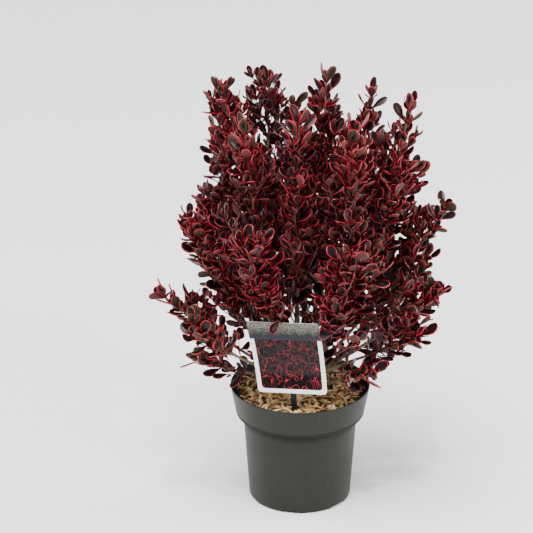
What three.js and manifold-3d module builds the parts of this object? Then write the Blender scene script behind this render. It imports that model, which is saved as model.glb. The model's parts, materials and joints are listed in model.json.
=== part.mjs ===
// Potted coprosma: a dark-leaved shrub with crimson leaf edges, in a round nursery pot,
// with a blank-faced plant label on a stick.
//
// Sizes are in millimetres. The origin is the centre of the pot's flat underside, Z is up
// and the label faces -Y.

import * as THREE from 'three';
import Module from 'manifold-3d';

const solids = await Module();
solids.setup();

// Corners closer together than this are one corner, before and after pieces are fused.
const SAME_CORNER = 0.0001;
const SHORTEST_EDGE = 0.005;

// Clear gap between pieces that touch on the real plant.
const FIT_GAP = 0.35;

// Pot: a tapering body, a shoulder, and a straight band under the rim.
const POT_HEIGHT = 121;
const POT_BASE_RADIUS = 51;
const POT_BASE_ROUND = 2;
const POT_BASE_ROUND_STEP = 0.6;
const POT_BODY_TOP_RADIUS = 57;
const POT_BODY_TOP_Z = 87;
const POT_BAND_FOOT_RADIUS = 64.5;
const POT_BAND_FOOT_Z = 91;
const POT_RIM_RADIUS = 70;
const POT_RIM_ROUND = 0.6;
const POT_WALL = 1.5;
const POT_FLOOR = 3.8;
const POT_SEGMENTS = 40;

// Drain notches under the foot, each with a drain hole above it.
const DRAIN_COUNT = 6;
const DRAIN_FIRST_AZIMUTH = 259;
const DRAIN_WIDTH = 19;
const DRAIN_HEIGHT = 2.2;
const DRAIN_INNER_RADIUS = 34;
const DRAIN_HOLE_RADIUS = 4;
const DRAIN_HOLE_CENTRE = 41;
const DRAIN_HOLE_SEGMENTS = 8;

// Growing medium and the coarse husk mulch on top of it.
const GROUND_Z = 114;
const MULCH_FOOT_Z = 103;
const MULCH_EDGE_DROP = 0.6;
const MULCH_EVEN_RADIUS = 24;
const MULCH_EDGE_WIDTH = 2;
const MULCH_BUMP = 1.3;
const MULCH_RINGS = 5;
const FILL_SEGMENTS = 32;

// Label card, held upright on its stick in front of the stems. Its head bows forward.
const CARD_FOOT_WIDTH = 70.4;
const CARD_HEAD_WIDTH = 74;
const CARD_HEIGHT = 81.4;
const CARD_THICKNESS = 0.8;
const CARD_BOW = 14;
const CARD_BOW_STEPS = 10;
const CARD_CORNER = 3.5;
const CARD_CORNER_SEGMENTS = 3;
const CARD_FOOT = [-7.8, -53, 135];
const CARD_TURN = -16.3;
const CARD_LEAN = 5;
const STICK_WIDTH = 5.5;
const STICK_THICKNESS = 1.6;
const STICK_RISE = 34;
const STICK_DEPTH = 40;
const STICK_POINT = 6;

// Stems: five from one rootstock, each ringed round the middle of the pot.
const STEM_RING = 12;
const STEM_LENGTH = 42;
const STEM_LEAN = 11;
const STEM_FLARE_RADIUS = 5;
const STEM_FOOT_RADIUS = 3.7;
const STEM_TIP_RADIUS = 2.7;
const STEM_FLARE_SHARE = 0.16;
const STEM_SIDES = 8;
const STEM_RINGS = 4;
const LOWEST_FORK_SHARE = 0.36;
const HIGHEST_FORK_SHARE = 0.97;

// Boughs and the shoots that carry the foliage on from them.
const BOUGH_FOOT_RADIUS = 2.2;
const BOUGH_TIP_RADIUS = 1.6;
const BOUGH_SIDES = 5;
const BOUGH_RINGS = 3;
const BOUGH_SHARE_HIGH = 0.2;
const BOUGH_SHARE_LOW = 0.24;
const SHOOT_START_PULL = 0.42;
const SHOOT_END_PULL = 0.38;
const SHOOT_START_RISE = [12, 68];
const SHOOT_END_RISE = [8, 84];
const SHOOT_SWAY = 7;
const LOWEST_TIP_Z = 110;
const HIGHEST_TIP_Z = 450;

// Twigs: three-sided, a leader through each foliage mass and laterals along it.
const LEADER_FOOT_RADIUS = 1.6;
const LEADER_TIP_RADIUS = 1;
const LATERAL_FOOT_RADIUS = 0.8;
const LATERAL_TIP_RADIUS = 0.7;
const TWIG_SIDES = 3;
const LEADER_RINGS = 3;
const LATERAL_RINGS = 1;
const LEAF_SPACING = 22;
const FIRST_LEADER_PAIR = 11;
const FIRST_LATERAL_PAIR = 17;
const LEADER_END_SHORT_OF_TIP = 24;
const LATERAL_EVERY_HIGH = 1.4;
const LATERAL_EVERY_LOW = 1;
const HIGH_TIP_Z = 380;
const LATERAL_LENGTH = [24, 40];
const LATERAL_TRIES = [1, 0.75, 0.5];
const LATERAL_SPREAD = [34, 50];
const LATERAL_PLACES = [[0.25, 45], [0.75, 225]];
const LATERAL_LIFT = 0.35;
const FEWEST_LEAVES_ON_LATERAL = 2;

// Leaves: kite-shaped, thin, in opposite pairs turned a quarter from pair to pair.
const LEAF_LENGTH = 30;
const LEAF_WIDTH = 17.5;
const LEAF_SIZES = [1.2, 1, 0.84, 0.7];
const LEAF_LIFT = 0.35;
const LEAF_THICKNESS = 1.6;
const LEAF_CLEARANCE = 1.1;
const LEAF_ROOT_SHARE = 0.1;
const LEAF_RIDGE_SHARE = 0.3;
const LEAF_WIDEST_SHARE = 0.62;
const LEAF_ROOT_FROM_AXIS = 0.2;
const LAST_PAIR_FROM_END = 0.7;
const LEAF_OPEN = [50, 74];
const LEAF_TURN_TO_LIGHT = 0.62;
const LIGHT_FROM_ABOVE = 0.7;
const TIP_LEAF_OPEN = 33;
const PAIR_TURN_JITTER = 26;
const GOLDEN_ANGLE = 137.5;

// The crown's widest reach at each height, as height and radius pairs.
const CROWN_REACH = [
  [110, 105],
  [150, 128],
  [190, 144],
  [225, 153],
  [258, 146],
  [285, 152],
  [312, 158],
  [340, 134],
  [380, 120],
  [425, 118],
  [440, 114],
  [450, 92],
  [458, 30],
];

// Space kept clear between masses, round the limbs, and over the mulch and the pot's rim.
const MASS_MARGIN = 1;
const LIMB_MARGIN = 0.9;
const MULCH_MARGIN = 1;
const RIM_MARGIN = 1.5;
const RIM_REACH_IN = 5;
const RIM_REACH_OUT = 3;
const LOWEST_LEAF_Z = 107;

// Space kept clear beside the label, before its face, and behind it where the stick is.
const CARD_MARGIN = 1.4;
const CARD_CLEAR_BEFORE = 2.5;
const CARD_CLEAR_BEHIND = 4;
const CARD_CLEAR_BELOW = 30;

// Steps between the points at which an axis or a leaf is tested.
const AXIS_STEP = 4;
const LEAF_TEST_STEPS = 10;
const LEAF_TEST_FIRST_STEP = 2;
const LEAF_TEST_ACROSS = [-1, -0.5, 0, 0.5, 1];
const LATERAL_TEST_SHARES = [0.35, 0.55, 0.75, 1];

// A limb steeper than this share of straight up is laid out from X instead of from Z.
const STEEP_SHARE = 0.9;

// The first of the numbers that seed the masses, one after the other.
const FIRST_MASS_SEED = 1001;

// Stem by stem: the stem's azimuth, and its shoots from the lowest fork to the tip.
// A shoot is its place in the crown, its tip's azimuth, its reach, its tip's height and,
// where it has to clear the label, how steeply it leaves its fork.
// Azimuths are in degrees from +X towards +Y.
const PLANT = [
  {
    stem: 'right',
    azimuth: 18,
    shoots: [
      ['right_back_skirt', 28, 138, 205],
      ['right_skirt', 352, 144, 232],
      ['right_shoulder', 7, 150, 313],
      ['right_back_shoulder', 38, 124, 330],
      ['right_crown', 351, 107, 433],
      ['right_back_crown', 24, 78, 429],
    ],
  },
  {
    stem: 'back',
    azimuth: 90,
    shoots: [
      ['back_right_skirt', 64, 140, 190],
      ['back_left_skirt', 120, 140, 200],
      ['back_shoulder', 94, 132, 300],
      ['back_crown', 96, 84, 399],
      ['middle_right_crown', 15, 26, 453],
    ],
  },
  {
    stem: 'left_back',
    azimuth: 162,
    shoots: [
      ['left_skirt', 177, 147, 222],
      ['left_shoulder', 191, 116, 309],
      ['left_back_shoulder', 148, 116, 302],
      ['left_crown', 172, 80, 440],
      ['middle_left_crown', 136, 45, 440],
    ],
  },
  {
    stem: 'left_front',
    azimuth: 234,
    shoots: [
      ['left_front_skirt', 192, 118, 163],
      ['front_left_skirt', 211, 128, 206],
      ['front_left_shoulder', 238, 112, 320, 68],
      ['front_left_crown', 222, 76, 420],
      ['front_crown', 268, 46, 430],
    ],
  },
  {
    stem: 'right_front',
    azimuth: 306,
    shoots: [
      ['front_right_skirt', 316, 108, 166],
      ['right_front_skirt', 335, 138, 204],
      ['front_right_shoulder', 300, 120, 306],
      ['front_right_crown', 312, 78, 424],
    ],
  },
];

const UP = new THREE.Vector3(0, 0, 1);
const ACROSS = new THREE.Vector3(1, 0, 0);

const MATERIALS = {
  pot: { color: 0x43423c, roughness: 0.5, metalness: 0 },
  medium: { color: 0x2b211a, roughness: 0.95, metalness: 0 },
  mulch: { color: 0x8a6a43, roughness: 0.9, metalness: 0 },
  card: { color: 0xe9e9e6, roughness: 0.35, metalness: 0 },
  stick: { color: 0x17171a, roughness: 0.45, metalness: 0 },
  bark: { color: 0x6b5a3a, roughness: 0.8, metalness: 0 },
  foliage: { color: 0x3a1418, roughness: 0.35, metalness: 0 },
};

// Repeatable random numbers from 0 to 1, the same for the same seed.
function seeded(seed) {
  let state = seed >>> 0;
  return () => {
    state = (state + 0x6d2b79f5) >>> 0;
    let t = Math.imul(state ^ (state >>> 15), state | 1);
    t = (t + Math.imul(t ^ (t >>> 7), t | 61)) ^ t;
    return ((t ^ (t >>> 14)) >>> 0) / 4294967296;
  };
}

function between(range, share) {
  return THREE.MathUtils.lerp(range[0], range[1], share);
}

// A level direction at an azimuth given in degrees.
function levelDirection(azimuth) {
  const angle = THREE.MathUtils.degToRad(azimuth);
  return new THREE.Vector3(Math.cos(angle), Math.sin(angle), 0);
}

// The direction that rises at an angle in degrees over a level direction.
function risingDirection(level, rise) {
  const angle = THREE.MathUtils.degToRad(rise);
  return level.clone().multiplyScalar(Math.cos(angle)).addScaledVector(UP, Math.sin(angle));
}

// Turns a geometry into a solid: equal corners are joined and flat slivers dropped.
function toSolid(geometry) {
  const place = geometry.attributes.position;
  const order = geometry.index ? Array.from(geometry.index.array) : [...Array(place.count).keys()];
  const found = new Map();
  const corners = [];
  const joined = Array.from({ length: place.count }, (_, i) => {
    const corner = [place.getX(i), place.getY(i), place.getZ(i)];
    const key = corner.map((v) => Math.round(v / SAME_CORNER)).join(',');
    if (!found.has(key)) {
      found.set(key, corners.length / 3);
      corners.push(...corner);
    }
    return found.get(key);
  });
  const faces = [];
  for (let i = 0; i < order.length; i += 3) {
    const [a, b, c] = [joined[order[i]], joined[order[i + 1]], joined[order[i + 2]]];
    if (a !== b && b !== c && c !== a) {
      faces.push(a, b, c);
    }
  }
  return new solids.Manifold(new solids.Mesh({
    numProp: 3,
    vertProperties: new Float32Array(corners),
    triVerts: new Uint32Array(faces),
  }));
}

// Where fused pieces leave an edge too short to matter, its two ends become one corner.
// Faces that this flattens go, and so do two that come to lie back to back.
function withoutShortEdges({ vertProperties, triVerts }) {
  const cornerAt = (i) => new THREE.Vector3().fromArray(vertProperties, 3 * i);
  const keptFor = Array.from({ length: vertProperties.length / 3 }, (_, i) => i);
  const kept = (i) => (keptFor[i] === i ? i : kept(keptFor[i]));
  for (let i = 0; i < triVerts.length; i += 1) {
    const next = i % 3 === 2 ? i - 2 : i + 1;
    const [first, second] = [kept(triVerts[i]), kept(triVerts[next])];
    if (cornerAt(first).distanceTo(cornerAt(second)) < SHORTEST_EDGE) {
      keptFor[Math.max(first, second)] = Math.min(first, second);
    }
  }
  const faces = new Map();
  for (let i = 0; i < triVerts.length; i += 3) {
    const face = [triVerts[i], triVerts[i + 1], triVerts[i + 2]].map(kept);
    const key = [...face].sort((one, other) => one - other).join(',');
    if (new Set(face).size === 3 && !faces.delete(key)) {
      faces.set(key, face);
    }
  }
  return [...faces.values()].flat();
}

// Turns a solid back into a geometry, keeping its largest piece and filling sealed hollows.
function toGeometry(solid) {
  const pieces = solid.decompose();
  const largest = pieces.reduce((best, piece) => (piece.volume() > best.volume() ? piece : best));
  const mesh = largest.getMesh();
  const geometry = new THREE.BufferGeometry();
  geometry.setAttribute('position', new THREE.BufferAttribute(mesh.vertProperties, mesh.numProp));
  geometry.setIndex(withoutShortEdges(mesh));
  geometry.computeVertexNormals();
  return geometry;
}

function namedMesh(name, geometry, kind) {
  const mesh = new THREE.Mesh(geometry, new THREE.MeshStandardMaterial(MATERIALS[kind]));
  mesh.name = name;
  return mesh;
}

// A solid of revolution about Z from radius and height pairs.
function turned(profile, segments) {
  const points = profile.map(([radius, z]) => new THREE.Vector2(radius, z));
  return new THREE.LatheGeometry(points, segments).rotateX(Math.PI / 2);
}

// The pot's inner wall, drawn in by a clearance, as radius and height pairs from foot to rim.
function innerWall(clearance) {
  const drawnIn = POT_WALL + clearance;
  return [
    [POT_BASE_RADIUS - drawnIn, POT_FLOOR + clearance],
    [POT_BODY_TOP_RADIUS - drawnIn, (POT_BODY_TOP_Z + POT_BAND_FOOT_Z) / 2],
    [POT_BAND_FOOT_RADIUS - drawnIn, POT_BAND_FOOT_Z + drawnIn],
    [POT_RIM_RADIUS - drawnIn, POT_HEIGHT],
  ];
}

// The radius of the drawn-in inner wall at a height within the band.
function bandRadiusAt(z, clearance) {
  const [, , [lowRadius, lowZ], [highRadius, highZ]] = innerWall(clearance);
  return THREE.MathUtils.mapLinear(z, lowZ, highZ, lowRadius, highRadius);
}

function potShell() {
  const inside = innerWall(0);
  const outline = [
    [0, 0],
    [POT_BASE_RADIUS - POT_BASE_ROUND, 0],
    [POT_BASE_RADIUS - POT_BASE_ROUND_STEP, POT_BASE_ROUND_STEP],
    [POT_BASE_RADIUS, POT_BASE_ROUND],
    [POT_BODY_TOP_RADIUS, POT_BODY_TOP_Z],
    [POT_BAND_FOOT_RADIUS, POT_BAND_FOOT_Z],
    [POT_RIM_RADIUS, POT_HEIGHT - POT_RIM_ROUND],
    [POT_RIM_RADIUS - POT_RIM_ROUND, POT_HEIGHT],
    [POT_RIM_RADIUS - POT_WALL, POT_HEIGHT],
    inside[2],
    inside[1],
    inside[0],
    [0, POT_FLOOR],
  ];
  return toSolid(turned(outline, POT_SEGMENTS));
}

// The notch and the hole of one drain, as one solid to cut away.
function drainCutter(azimuth) {
  const length = POT_RIM_RADIUS - DRAIN_INNER_RADIUS;
  const notch = new THREE.BoxGeometry(length, DRAIN_WIDTH, 2 * DRAIN_HEIGHT);
  notch.translate(DRAIN_INNER_RADIUS + length / 2, 0, 0);
  const hole = new THREE.CylinderGeometry(
    DRAIN_HOLE_RADIUS, DRAIN_HOLE_RADIUS, 4 * POT_FLOOR, DRAIN_HOLE_SEGMENTS,
  );
  hole.rotateX(Math.PI / 2).translate(DRAIN_HOLE_CENTRE, 0, 0);
  const turn = THREE.MathUtils.degToRad(azimuth);
  return toSolid(notch.rotateZ(turn)).add(toSolid(hole.rotateZ(turn)));
}

function makePot() {
  let pot = potShell();
  for (let i = 0; i < DRAIN_COUNT; i += 1) {
    pot = pot.subtract(drainCutter(DRAIN_FIRST_AZIMUTH + (i * 360) / DRAIN_COUNT));
  }
  return namedMesh('pot', toGeometry(pot), 'pot');
}

// The growing medium fills the pot up to the mulch.
function mediumSolid() {
  const [foot, bodyTop, bandFoot] = innerWall(FIT_GAP);
  const top = MULCH_FOOT_Z - FIT_GAP;
  const outline = [
    [0, foot[1]],
    foot,
    bodyTop,
    bandFoot,
    [bandRadiusAt(top, FIT_GAP), top],
    [0, top],
  ];
  return toSolid(turned(outline, FILL_SEGMENTS));
}

// The mulch is level round the stems and bumpy further out.
function mulchSolid() {
  const edgeTop = GROUND_Z - MULCH_EDGE_DROP;
  const edgeRadius = bandRadiusAt(edgeTop, FIT_GAP);
  const outline = [
    [0, MULCH_FOOT_Z],
    [bandRadiusAt(MULCH_FOOT_Z, FIT_GAP), MULCH_FOOT_Z],
    [edgeRadius, edgeTop],
  ];
  for (let ring = 0; ring <= MULCH_RINGS; ring += 1) {
    const share = ring / MULCH_RINGS;
    outline.push([THREE.MathUtils.lerp(edgeRadius - MULCH_EDGE_WIDTH, MULCH_EVEN_RADIUS, share), GROUND_Z]);
  }
  outline.push([0, GROUND_Z]);
  return toSolid(withBumps(turned(outline, FILL_SEGMENTS)));
}

// Moves each corner on the mulch's bumpy ring up or down by a rule seeded with its place.
function withBumps(geometry) {
  const place = geometry.attributes.position;
  for (let i = 0; i < place.count; i += 1) {
    const onTop = Math.abs(place.getZ(i) - GROUND_Z) < SAME_CORNER;
    const beyond = Math.hypot(place.getX(i), place.getY(i)) > MULCH_EVEN_RADIUS + SAME_CORNER;
    if (onTop && beyond) {
      const [x, y] = [place.getX(i), place.getY(i)].map((v) => Math.round(v / SAME_CORNER));
      place.setZ(i, GROUND_Z + MULCH_BUMP * (seeded(x + y * Math.round(1 / SAME_CORNER))() * 2 - 1));
    }
  }
  return geometry;
}

// The card's outline: slightly wider at the head than at the foot, with rounded corners.
function cardOutline() {
  const shape = new THREE.Shape();
  const foot = CARD_FOOT_WIDTH / 2 - CARD_CORNER;
  const head = CARD_HEAD_WIDTH / 2 - CARD_CORNER;
  const top = CARD_HEIGHT - CARD_CORNER;
  shape.moveTo(-foot, 0);
  shape.absarc(foot, CARD_CORNER, CARD_CORNER, -Math.PI / 2, 0);
  shape.absarc(head, top, CARD_CORNER, 0, Math.PI / 2);
  shape.absarc(-head, top, CARD_CORNER, Math.PI / 2, Math.PI);
  shape.absarc(-foot, CARD_CORNER, CARD_CORNER, Math.PI, Math.PI * 1.5);
  return shape;
}

// How far forward the card bows at a height above its foot.
function cardBowAt(height) {
  return CARD_BOW * (THREE.MathUtils.clamp(height, 0, CARD_HEIGHT) / CARD_HEIGHT) ** 2;
}

// The label's own frame: X across the card, Y up it and Z out of its face.
function labelFrame() {
  const turn = new THREE.Group();
  turn.position.set(...CARD_FOOT);
  turn.rotation.z = THREE.MathUtils.degToRad(CARD_TURN);
  const lean = new THREE.Group();
  lean.rotation.set(Math.PI / 2, 0, THREE.MathUtils.degToRad(CARD_LEAN));
  turn.add(lean);
  turn.updateMatrixWorld(true);
  return { turn, lean };
}

// A sheet bowed forward at the head, wide enough for the whole card.
function bowedSheet() {
  const heights = Array.from({ length: CARD_BOW_STEPS + 1 }, (_, i) => (i * CARD_HEIGHT) / CARD_BOW_STEPS);
  const backLine = heights.map((height) => new THREE.Vector2(-cardBowAt(height), height));
  const faceLine = heights.map((height) => new THREE.Vector2(-cardBowAt(height) - CARD_THICKNESS, height));
  const side = new THREE.Shape([...backLine, ...faceLine.reverse()]);
  const sheet = new THREE.ExtrudeGeometry(side, { depth: CARD_HEAD_WIDTH, bevelEnabled: false });
  return sheet.rotateY(Math.PI / 2).translate(-CARD_HEAD_WIDTH / 2, 0, 0);
}

function makeCard() {
  const cutter = new THREE.ExtrudeGeometry(cardOutline(), {
    depth: CARD_BOW + 3 * CARD_THICKNESS,
    bevelEnabled: false,
    curveSegments: CARD_CORNER_SEGMENTS,
  });
  cutter.translate(0, 0, -CARD_THICKNESS);
  const card = toSolid(bowedSheet()).intersect(toSolid(cutter));
  return namedMesh('label_card', toGeometry(card), 'card');
}

// The stick's outline, widened by a clearance: straight sides and a pointed lower end.
function stickGeometry(clearance) {
  const half = STICK_WIDTH / 2 + clearance;
  const shape = new THREE.Shape();
  shape.moveTo(-half, STICK_RISE + clearance);
  shape.lineTo(-half, -STICK_DEPTH + STICK_POINT - clearance);
  shape.lineTo(0, -STICK_DEPTH - 2 * clearance);
  shape.lineTo(half, -STICK_DEPTH + STICK_POINT - clearance);
  shape.lineTo(half, STICK_RISE + clearance);
  const depth = STICK_THICKNESS + 2 * clearance;
  const stick = new THREE.ExtrudeGeometry(shape, { depth, bevelEnabled: false });
  return stick.translate(0, 0, -FIT_GAP - STICK_THICKNESS - clearance);
}

// A stretch of a curve between two of its parameters.
class Stretch extends THREE.Curve {
  constructor(whole, from, to) {
    super();
    this.whole = whole;
    this.from = from;
    this.to = to;
  }

  getPoint(t, target = new THREE.Vector3()) {
    return this.whole.getPoint(THREE.MathUtils.lerp(this.from, this.to, t), target);
  }
}

// A round limb along a curve, with its radius given at each share of the way.
function limbGeometry(curve, radiusAt, sides, rings) {
  const geometry = new THREE.CylinderGeometry(1, 1, 1, sides, rings);
  const place = geometry.attributes.position;
  const chord = curve.getPoint(1).sub(curve.getPoint(0));
  const steady = Math.abs(chord.z) > STEEP_SHARE * chord.length() ? ACROSS : UP;
  for (let i = 0; i < place.count; i += 1) {
    const share = place.getY(i) + 0.5;
    const along = curve.getTangent(share);
    const across = steady.clone().addScaledVector(along, -steady.dot(along)).normalize();
    const third = across.clone().cross(along);
    const point = curve.getPoint(share);
    const radius = radiusAt(share);
    point.addScaledVector(across, place.getX(i) * radius);
    point.addScaledVector(third, place.getZ(i) * radius);
    place.setXYZ(i, point.x, point.y, point.z);
  }
  return geometry;
}

// Points along a curve about one step apart, as place and radius.
function axisSamples(curve, radiusAt) {
  const count = Math.ceil(curve.getLength() / AXIS_STEP);
  return Array.from({ length: count + 1 }, (_, i) => ({
    point: curve.getPoint(i / count),
    radius: radiusAt(i / count),
  }));
}

function stemRadiusAt(share) {
  const plain = THREE.MathUtils.lerp(STEM_FOOT_RADIUS, STEM_TIP_RADIUS, share);
  const flare = Math.max(0, 1 - share / STEM_FLARE_SHARE);
  return plain + (STEM_FLARE_RADIUS - STEM_FOOT_RADIUS) * flare * flare;
}

function boughRadiusAt(share) {
  return THREE.MathUtils.lerp(BOUGH_FOOT_RADIUS, BOUGH_TIP_RADIUS, share);
}

function leaderRadiusAt(share) {
  return THREE.MathUtils.lerp(LEADER_FOOT_RADIUS, LEADER_TIP_RADIUS, share);
}

function lateralRadiusAt(share) {
  return THREE.MathUtils.lerp(LATERAL_FOOT_RADIUS, LATERAL_TIP_RADIUS, share);
}

// A stem leans outward from the ring and is cut flat at ground level.
function stemCurve(azimuth) {
  const outward = levelDirection(azimuth);
  const foot = outward.clone().multiplyScalar(STEM_RING).setZ(GROUND_Z - STEM_FLARE_RADIUS);
  const tip = foot.clone().addScaledVector(risingDirection(outward, 90 - STEM_LEAN), STEM_LENGTH);
  return new THREE.LineCurve3(foot, tip);
}

function stemSolid(curve, clearance) {
  const tip = curve.v2.clone().addScaledVector(curve.getTangent(1), clearance);
  const longer = new THREE.LineCurve3(curve.v1, tip);
  const limb = toSolid(limbGeometry(longer, (s) => stemRadiusAt(s) + clearance, STEM_SIDES, STEM_RINGS));
  const below = new THREE.BoxGeometry(6 * STEM_RING, 6 * STEM_RING, 4 * STEM_FLARE_RADIUS);
  below.translate(0, 0, GROUND_Z + FIT_GAP - 2 * STEM_FLARE_RADIUS);
  return limb.subtract(toSolid(below));
}

// The whole shoot from its fork to its tip: out at first, then up, with a slight sway.
function shootCurve(fork, azimuth, reach, tipZ, startRise, random) {
  const tip = levelDirection(azimuth).multiplyScalar(reach).setZ(tipZ);
  const span = tip.clone().sub(fork);
  const level = span.clone().setZ(0).normalize();
  const height = THREE.MathUtils.clamp((tipZ - LOWEST_TIP_Z) / (HIGHEST_TIP_Z - LOWEST_TIP_Z), 0, 1);
  const start = risingDirection(level, startRise ?? between(SHOOT_START_RISE, height ** 0.8));
  const end = risingDirection(level, between(SHOOT_END_RISE, height ** 0.8));
  const sideways = level.clone().cross(UP);
  const chord = span.length();
  const near = fork.clone().addScaledVector(start, SHOOT_START_PULL * chord);
  near.addScaledVector(sideways, SHOOT_SWAY * (random() * 2 - 1));
  const far = tip.clone().addScaledVector(end, -SHOOT_END_PULL * chord);
  far.addScaledVector(sideways, SHOOT_SWAY * (random() * 2 - 1));
  return new THREE.CubicBezierCurve3(fork, near, far, tip);
}

// Lays out the stems and shoots: every curve that the solids and the foliage follow.
function layOutPlant() {
  const shoots = [];
  const stems = PLANT.map(({ stem, azimuth, shoots: rows }) => {
    const curve = stemCurve(azimuth);
    rows.forEach(([place, tipAzimuth, reach, tipZ, startRise], row) => {
      const share = THREE.MathUtils.lerp(LOWEST_FORK_SHARE, HIGHEST_FORK_SHARE, row / (rows.length - 1));
      const sway = seeded(shoots.length + 1);
      const whole = shootCurve(curve.getPoint(share), tipAzimuth, reach, tipZ, startRise, sway);
      const high = THREE.MathUtils.clamp((tipZ - LOWEST_TIP_Z) / (HIGHEST_TIP_Z - LOWEST_TIP_Z), 0, 1);
      const boughShare = THREE.MathUtils.lerp(BOUGH_SHARE_LOW, BOUGH_SHARE_HIGH, high);
      const length = whole.getLength();
      const bough = new Stretch(whole, 0, boughShare);
      const leaderStart = boughShare + FIT_GAP / length;
      const leader = new Stretch(whole, leaderStart, 1 - LEADER_END_SHORT_OF_TIP / length);
      const axis = axisSamples(new Stretch(whole, leaderStart, 1), leaderRadiusAt);
      shoots.push({ place, stem, whole, bough, leader, axis, massSeed: FIRST_MASS_SEED + shoots.length });
    });
    return { name: stem, curve };
  });
  return { stems, shoots };
}

// The crown's widest reach at a height.
function crownReachAt(z) {
  const above = CROWN_REACH.findIndex(([height]) => height >= z);
  if (above < 1) {
    return above === 0 ? CROWN_REACH[0][1] : 0;
  }
  const [lowZ, lowRadius] = CROWN_REACH[above - 1];
  const [highZ, highRadius] = CROWN_REACH[above];
  return THREE.MathUtils.mapLinear(z, lowZ, highZ, lowRadius, highRadius);
}

function distanceTo(samples, point) {
  let least = Infinity;
  for (const sample of samples) {
    least = Math.min(least, sample.point.distanceTo(point) - sample.radius);
  }
  return least;
}

// The lowest height for foliage over the mulch, over the rim and beyond the pot.
function lowestFoliageAt(radius) {
  if (radius < POT_RIM_RADIUS - RIM_REACH_IN) {
    return GROUND_Z + MULCH_BUMP + MULCH_MARGIN;
  }
  return radius < POT_RIM_RADIUS + RIM_REACH_OUT ? POT_HEIGHT + RIM_MARGIN : LOWEST_LEAF_Z;
}

// Tells whether a point in the label's frame is too near the card or its stick.
function nearLabel(point, thickness) {
  const side = CARD_HEAD_WIDTH / 2 + CARD_MARGIN + thickness;
  const top = CARD_HEIGHT + CARD_MARGIN + thickness;
  const ahead = point.z - cardBowAt(point.y);
  return ahead > -CARD_CLEAR_BEHIND && ahead < CARD_CLEAR_BEFORE
    && Math.abs(point.x) < side && point.y > -CARD_CLEAR_BELOW && point.y < top;
}

// Tells whether a mass may fill a point: inside the crown and the mass's own space, and
// clear of every limb, the pot, the mulch and the label. Its own space is what lies nearer
// to its leader than to any other.
function makeSpaceTest(plant, label) {
  const limbs = [
    ...plant.stems.flatMap(({ curve }) => axisSamples(curve, stemRadiusAt)),
    ...plant.shoots.flatMap(({ bough }) => axisSamples(bough, boughRadiusAt)),
  ];
  const toLabel = label.lean.matrixWorld.clone().invert();
  return (shoot, point, thickness) => {
    const radius = Math.hypot(point.x, point.y);
    if (point.z < lowestFoliageAt(radius) + thickness || radius > crownReachAt(point.z)) {
      return false;
    }
    const own = distanceTo(shoot.axis, point);
    return !nearLabel(point.clone().applyMatrix4(toLabel), thickness)
      && distanceTo(limbs, point) >= LIMB_MARGIN + thickness
      && plant.shoots.every((other) => (
        other === shoot || distanceTo(other.axis, point) - own >= MASS_MARGIN + thickness
      ));
  };
}

// The place of a leaf: its root, and the directions along it, across it and out of its face.
// The face turns part of the way from the twig's end to the light.
function leafFrame(root, along, outward, open) {
  const angle = THREE.MathUtils.degToRad(open);
  const length = along.clone().multiplyScalar(Math.cos(angle)).addScaledVector(outward, Math.sin(angle));
  length.addScaledVector(UP, LEAF_LIFT).normalize();
  const light = root.clone().setZ(0).normalize().multiplyScalar(1 - LIGHT_FROM_ABOVE);
  light.addScaledVector(UP, LIGHT_FROM_ABOVE).normalize();
  const face = along.clone().multiplyScalar(Math.sin(angle)).addScaledVector(outward, -Math.cos(angle));
  face.lerp(light, LEAF_TURN_TO_LIGHT);
  face.addScaledVector(length, -face.dot(length)).normalize();
  return { root, length, face, width: length.clone().cross(face) };
}

// A point of a leaf from shares of its length and half width, and a height over its face.
function leafPoint(leaf, size, down, across, over) {
  return leaf.root.clone()
    .addScaledVector(leaf.length, down * LEAF_LENGTH * size)
    .addScaledVector(leaf.width, (across * LEAF_WIDTH * size) / 2)
    .addScaledVector(leaf.face, over);
}

// Eight faces: a root point, a tip, two edge points and a ridge point on either face.
function leafSolid(leaf, size) {
  const geometry = new THREE.OctahedronGeometry(1);
  const place = geometry.attributes.position;
  const rootShare = LEAF_ROOT_FROM_AXIS / (LEAF_LENGTH * size);
  for (let i = 0; i < place.count; i += 1) {
    const [x, y, z] = [place.getX(i), place.getY(i), place.getZ(i)].map(Math.round);
    let down = y > 0 ? 1 : rootShare;
    if (y === 0) {
      down = x === 0 ? LEAF_RIDGE_SHARE : LEAF_WIDEST_SHARE;
    }
    const point = leafPoint(leaf, size, down, x, (z * LEAF_THICKNESS) / 2);
    place.setXYZ(i, point.x, point.y, point.z);
  }
  return toSolid(geometry);
}

// The kite's half width at a share of its length, as a share of its widest.
function leafHalfWidth(down) {
  return down < LEAF_WIDEST_SHARE ? down / LEAF_WIDEST_SHARE : (1 - down) / (1 - LEAF_WIDEST_SHARE);
}

// A grid of points over a leaf, beyond its root.
function leafSamples(leaf, size) {
  const points = [];
  for (let step = LEAF_TEST_FIRST_STEP; step <= LEAF_TEST_STEPS; step += 1) {
    const down = step / LEAF_TEST_STEPS;
    for (const across of LEAF_TEST_ACROSS) {
      points.push(leafPoint(leaf, size, down, across * leafHalfWidth(down), 0));
    }
  }
  return points;
}

// Tells whether a point lies in a leaf, beyond its root, or close beside it.
function nearLeaf({ leaf, size }, point) {
  const offset = point.clone().sub(leaf.root);
  const down = offset.dot(leaf.length) / (LEAF_LENGTH * size);
  const over = Math.abs(offset.dot(leaf.face));
  if (over > LEAF_CLEARANCE + LEAF_THICKNESS / 2 || down < LEAF_ROOT_SHARE || down > 1) {
    return false;
  }
  const across = Math.abs(offset.dot(leaf.width));
  return across < (leafHalfWidth(down) * LEAF_WIDTH * size) / 2 + LEAF_CLEARANCE;
}

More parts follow.
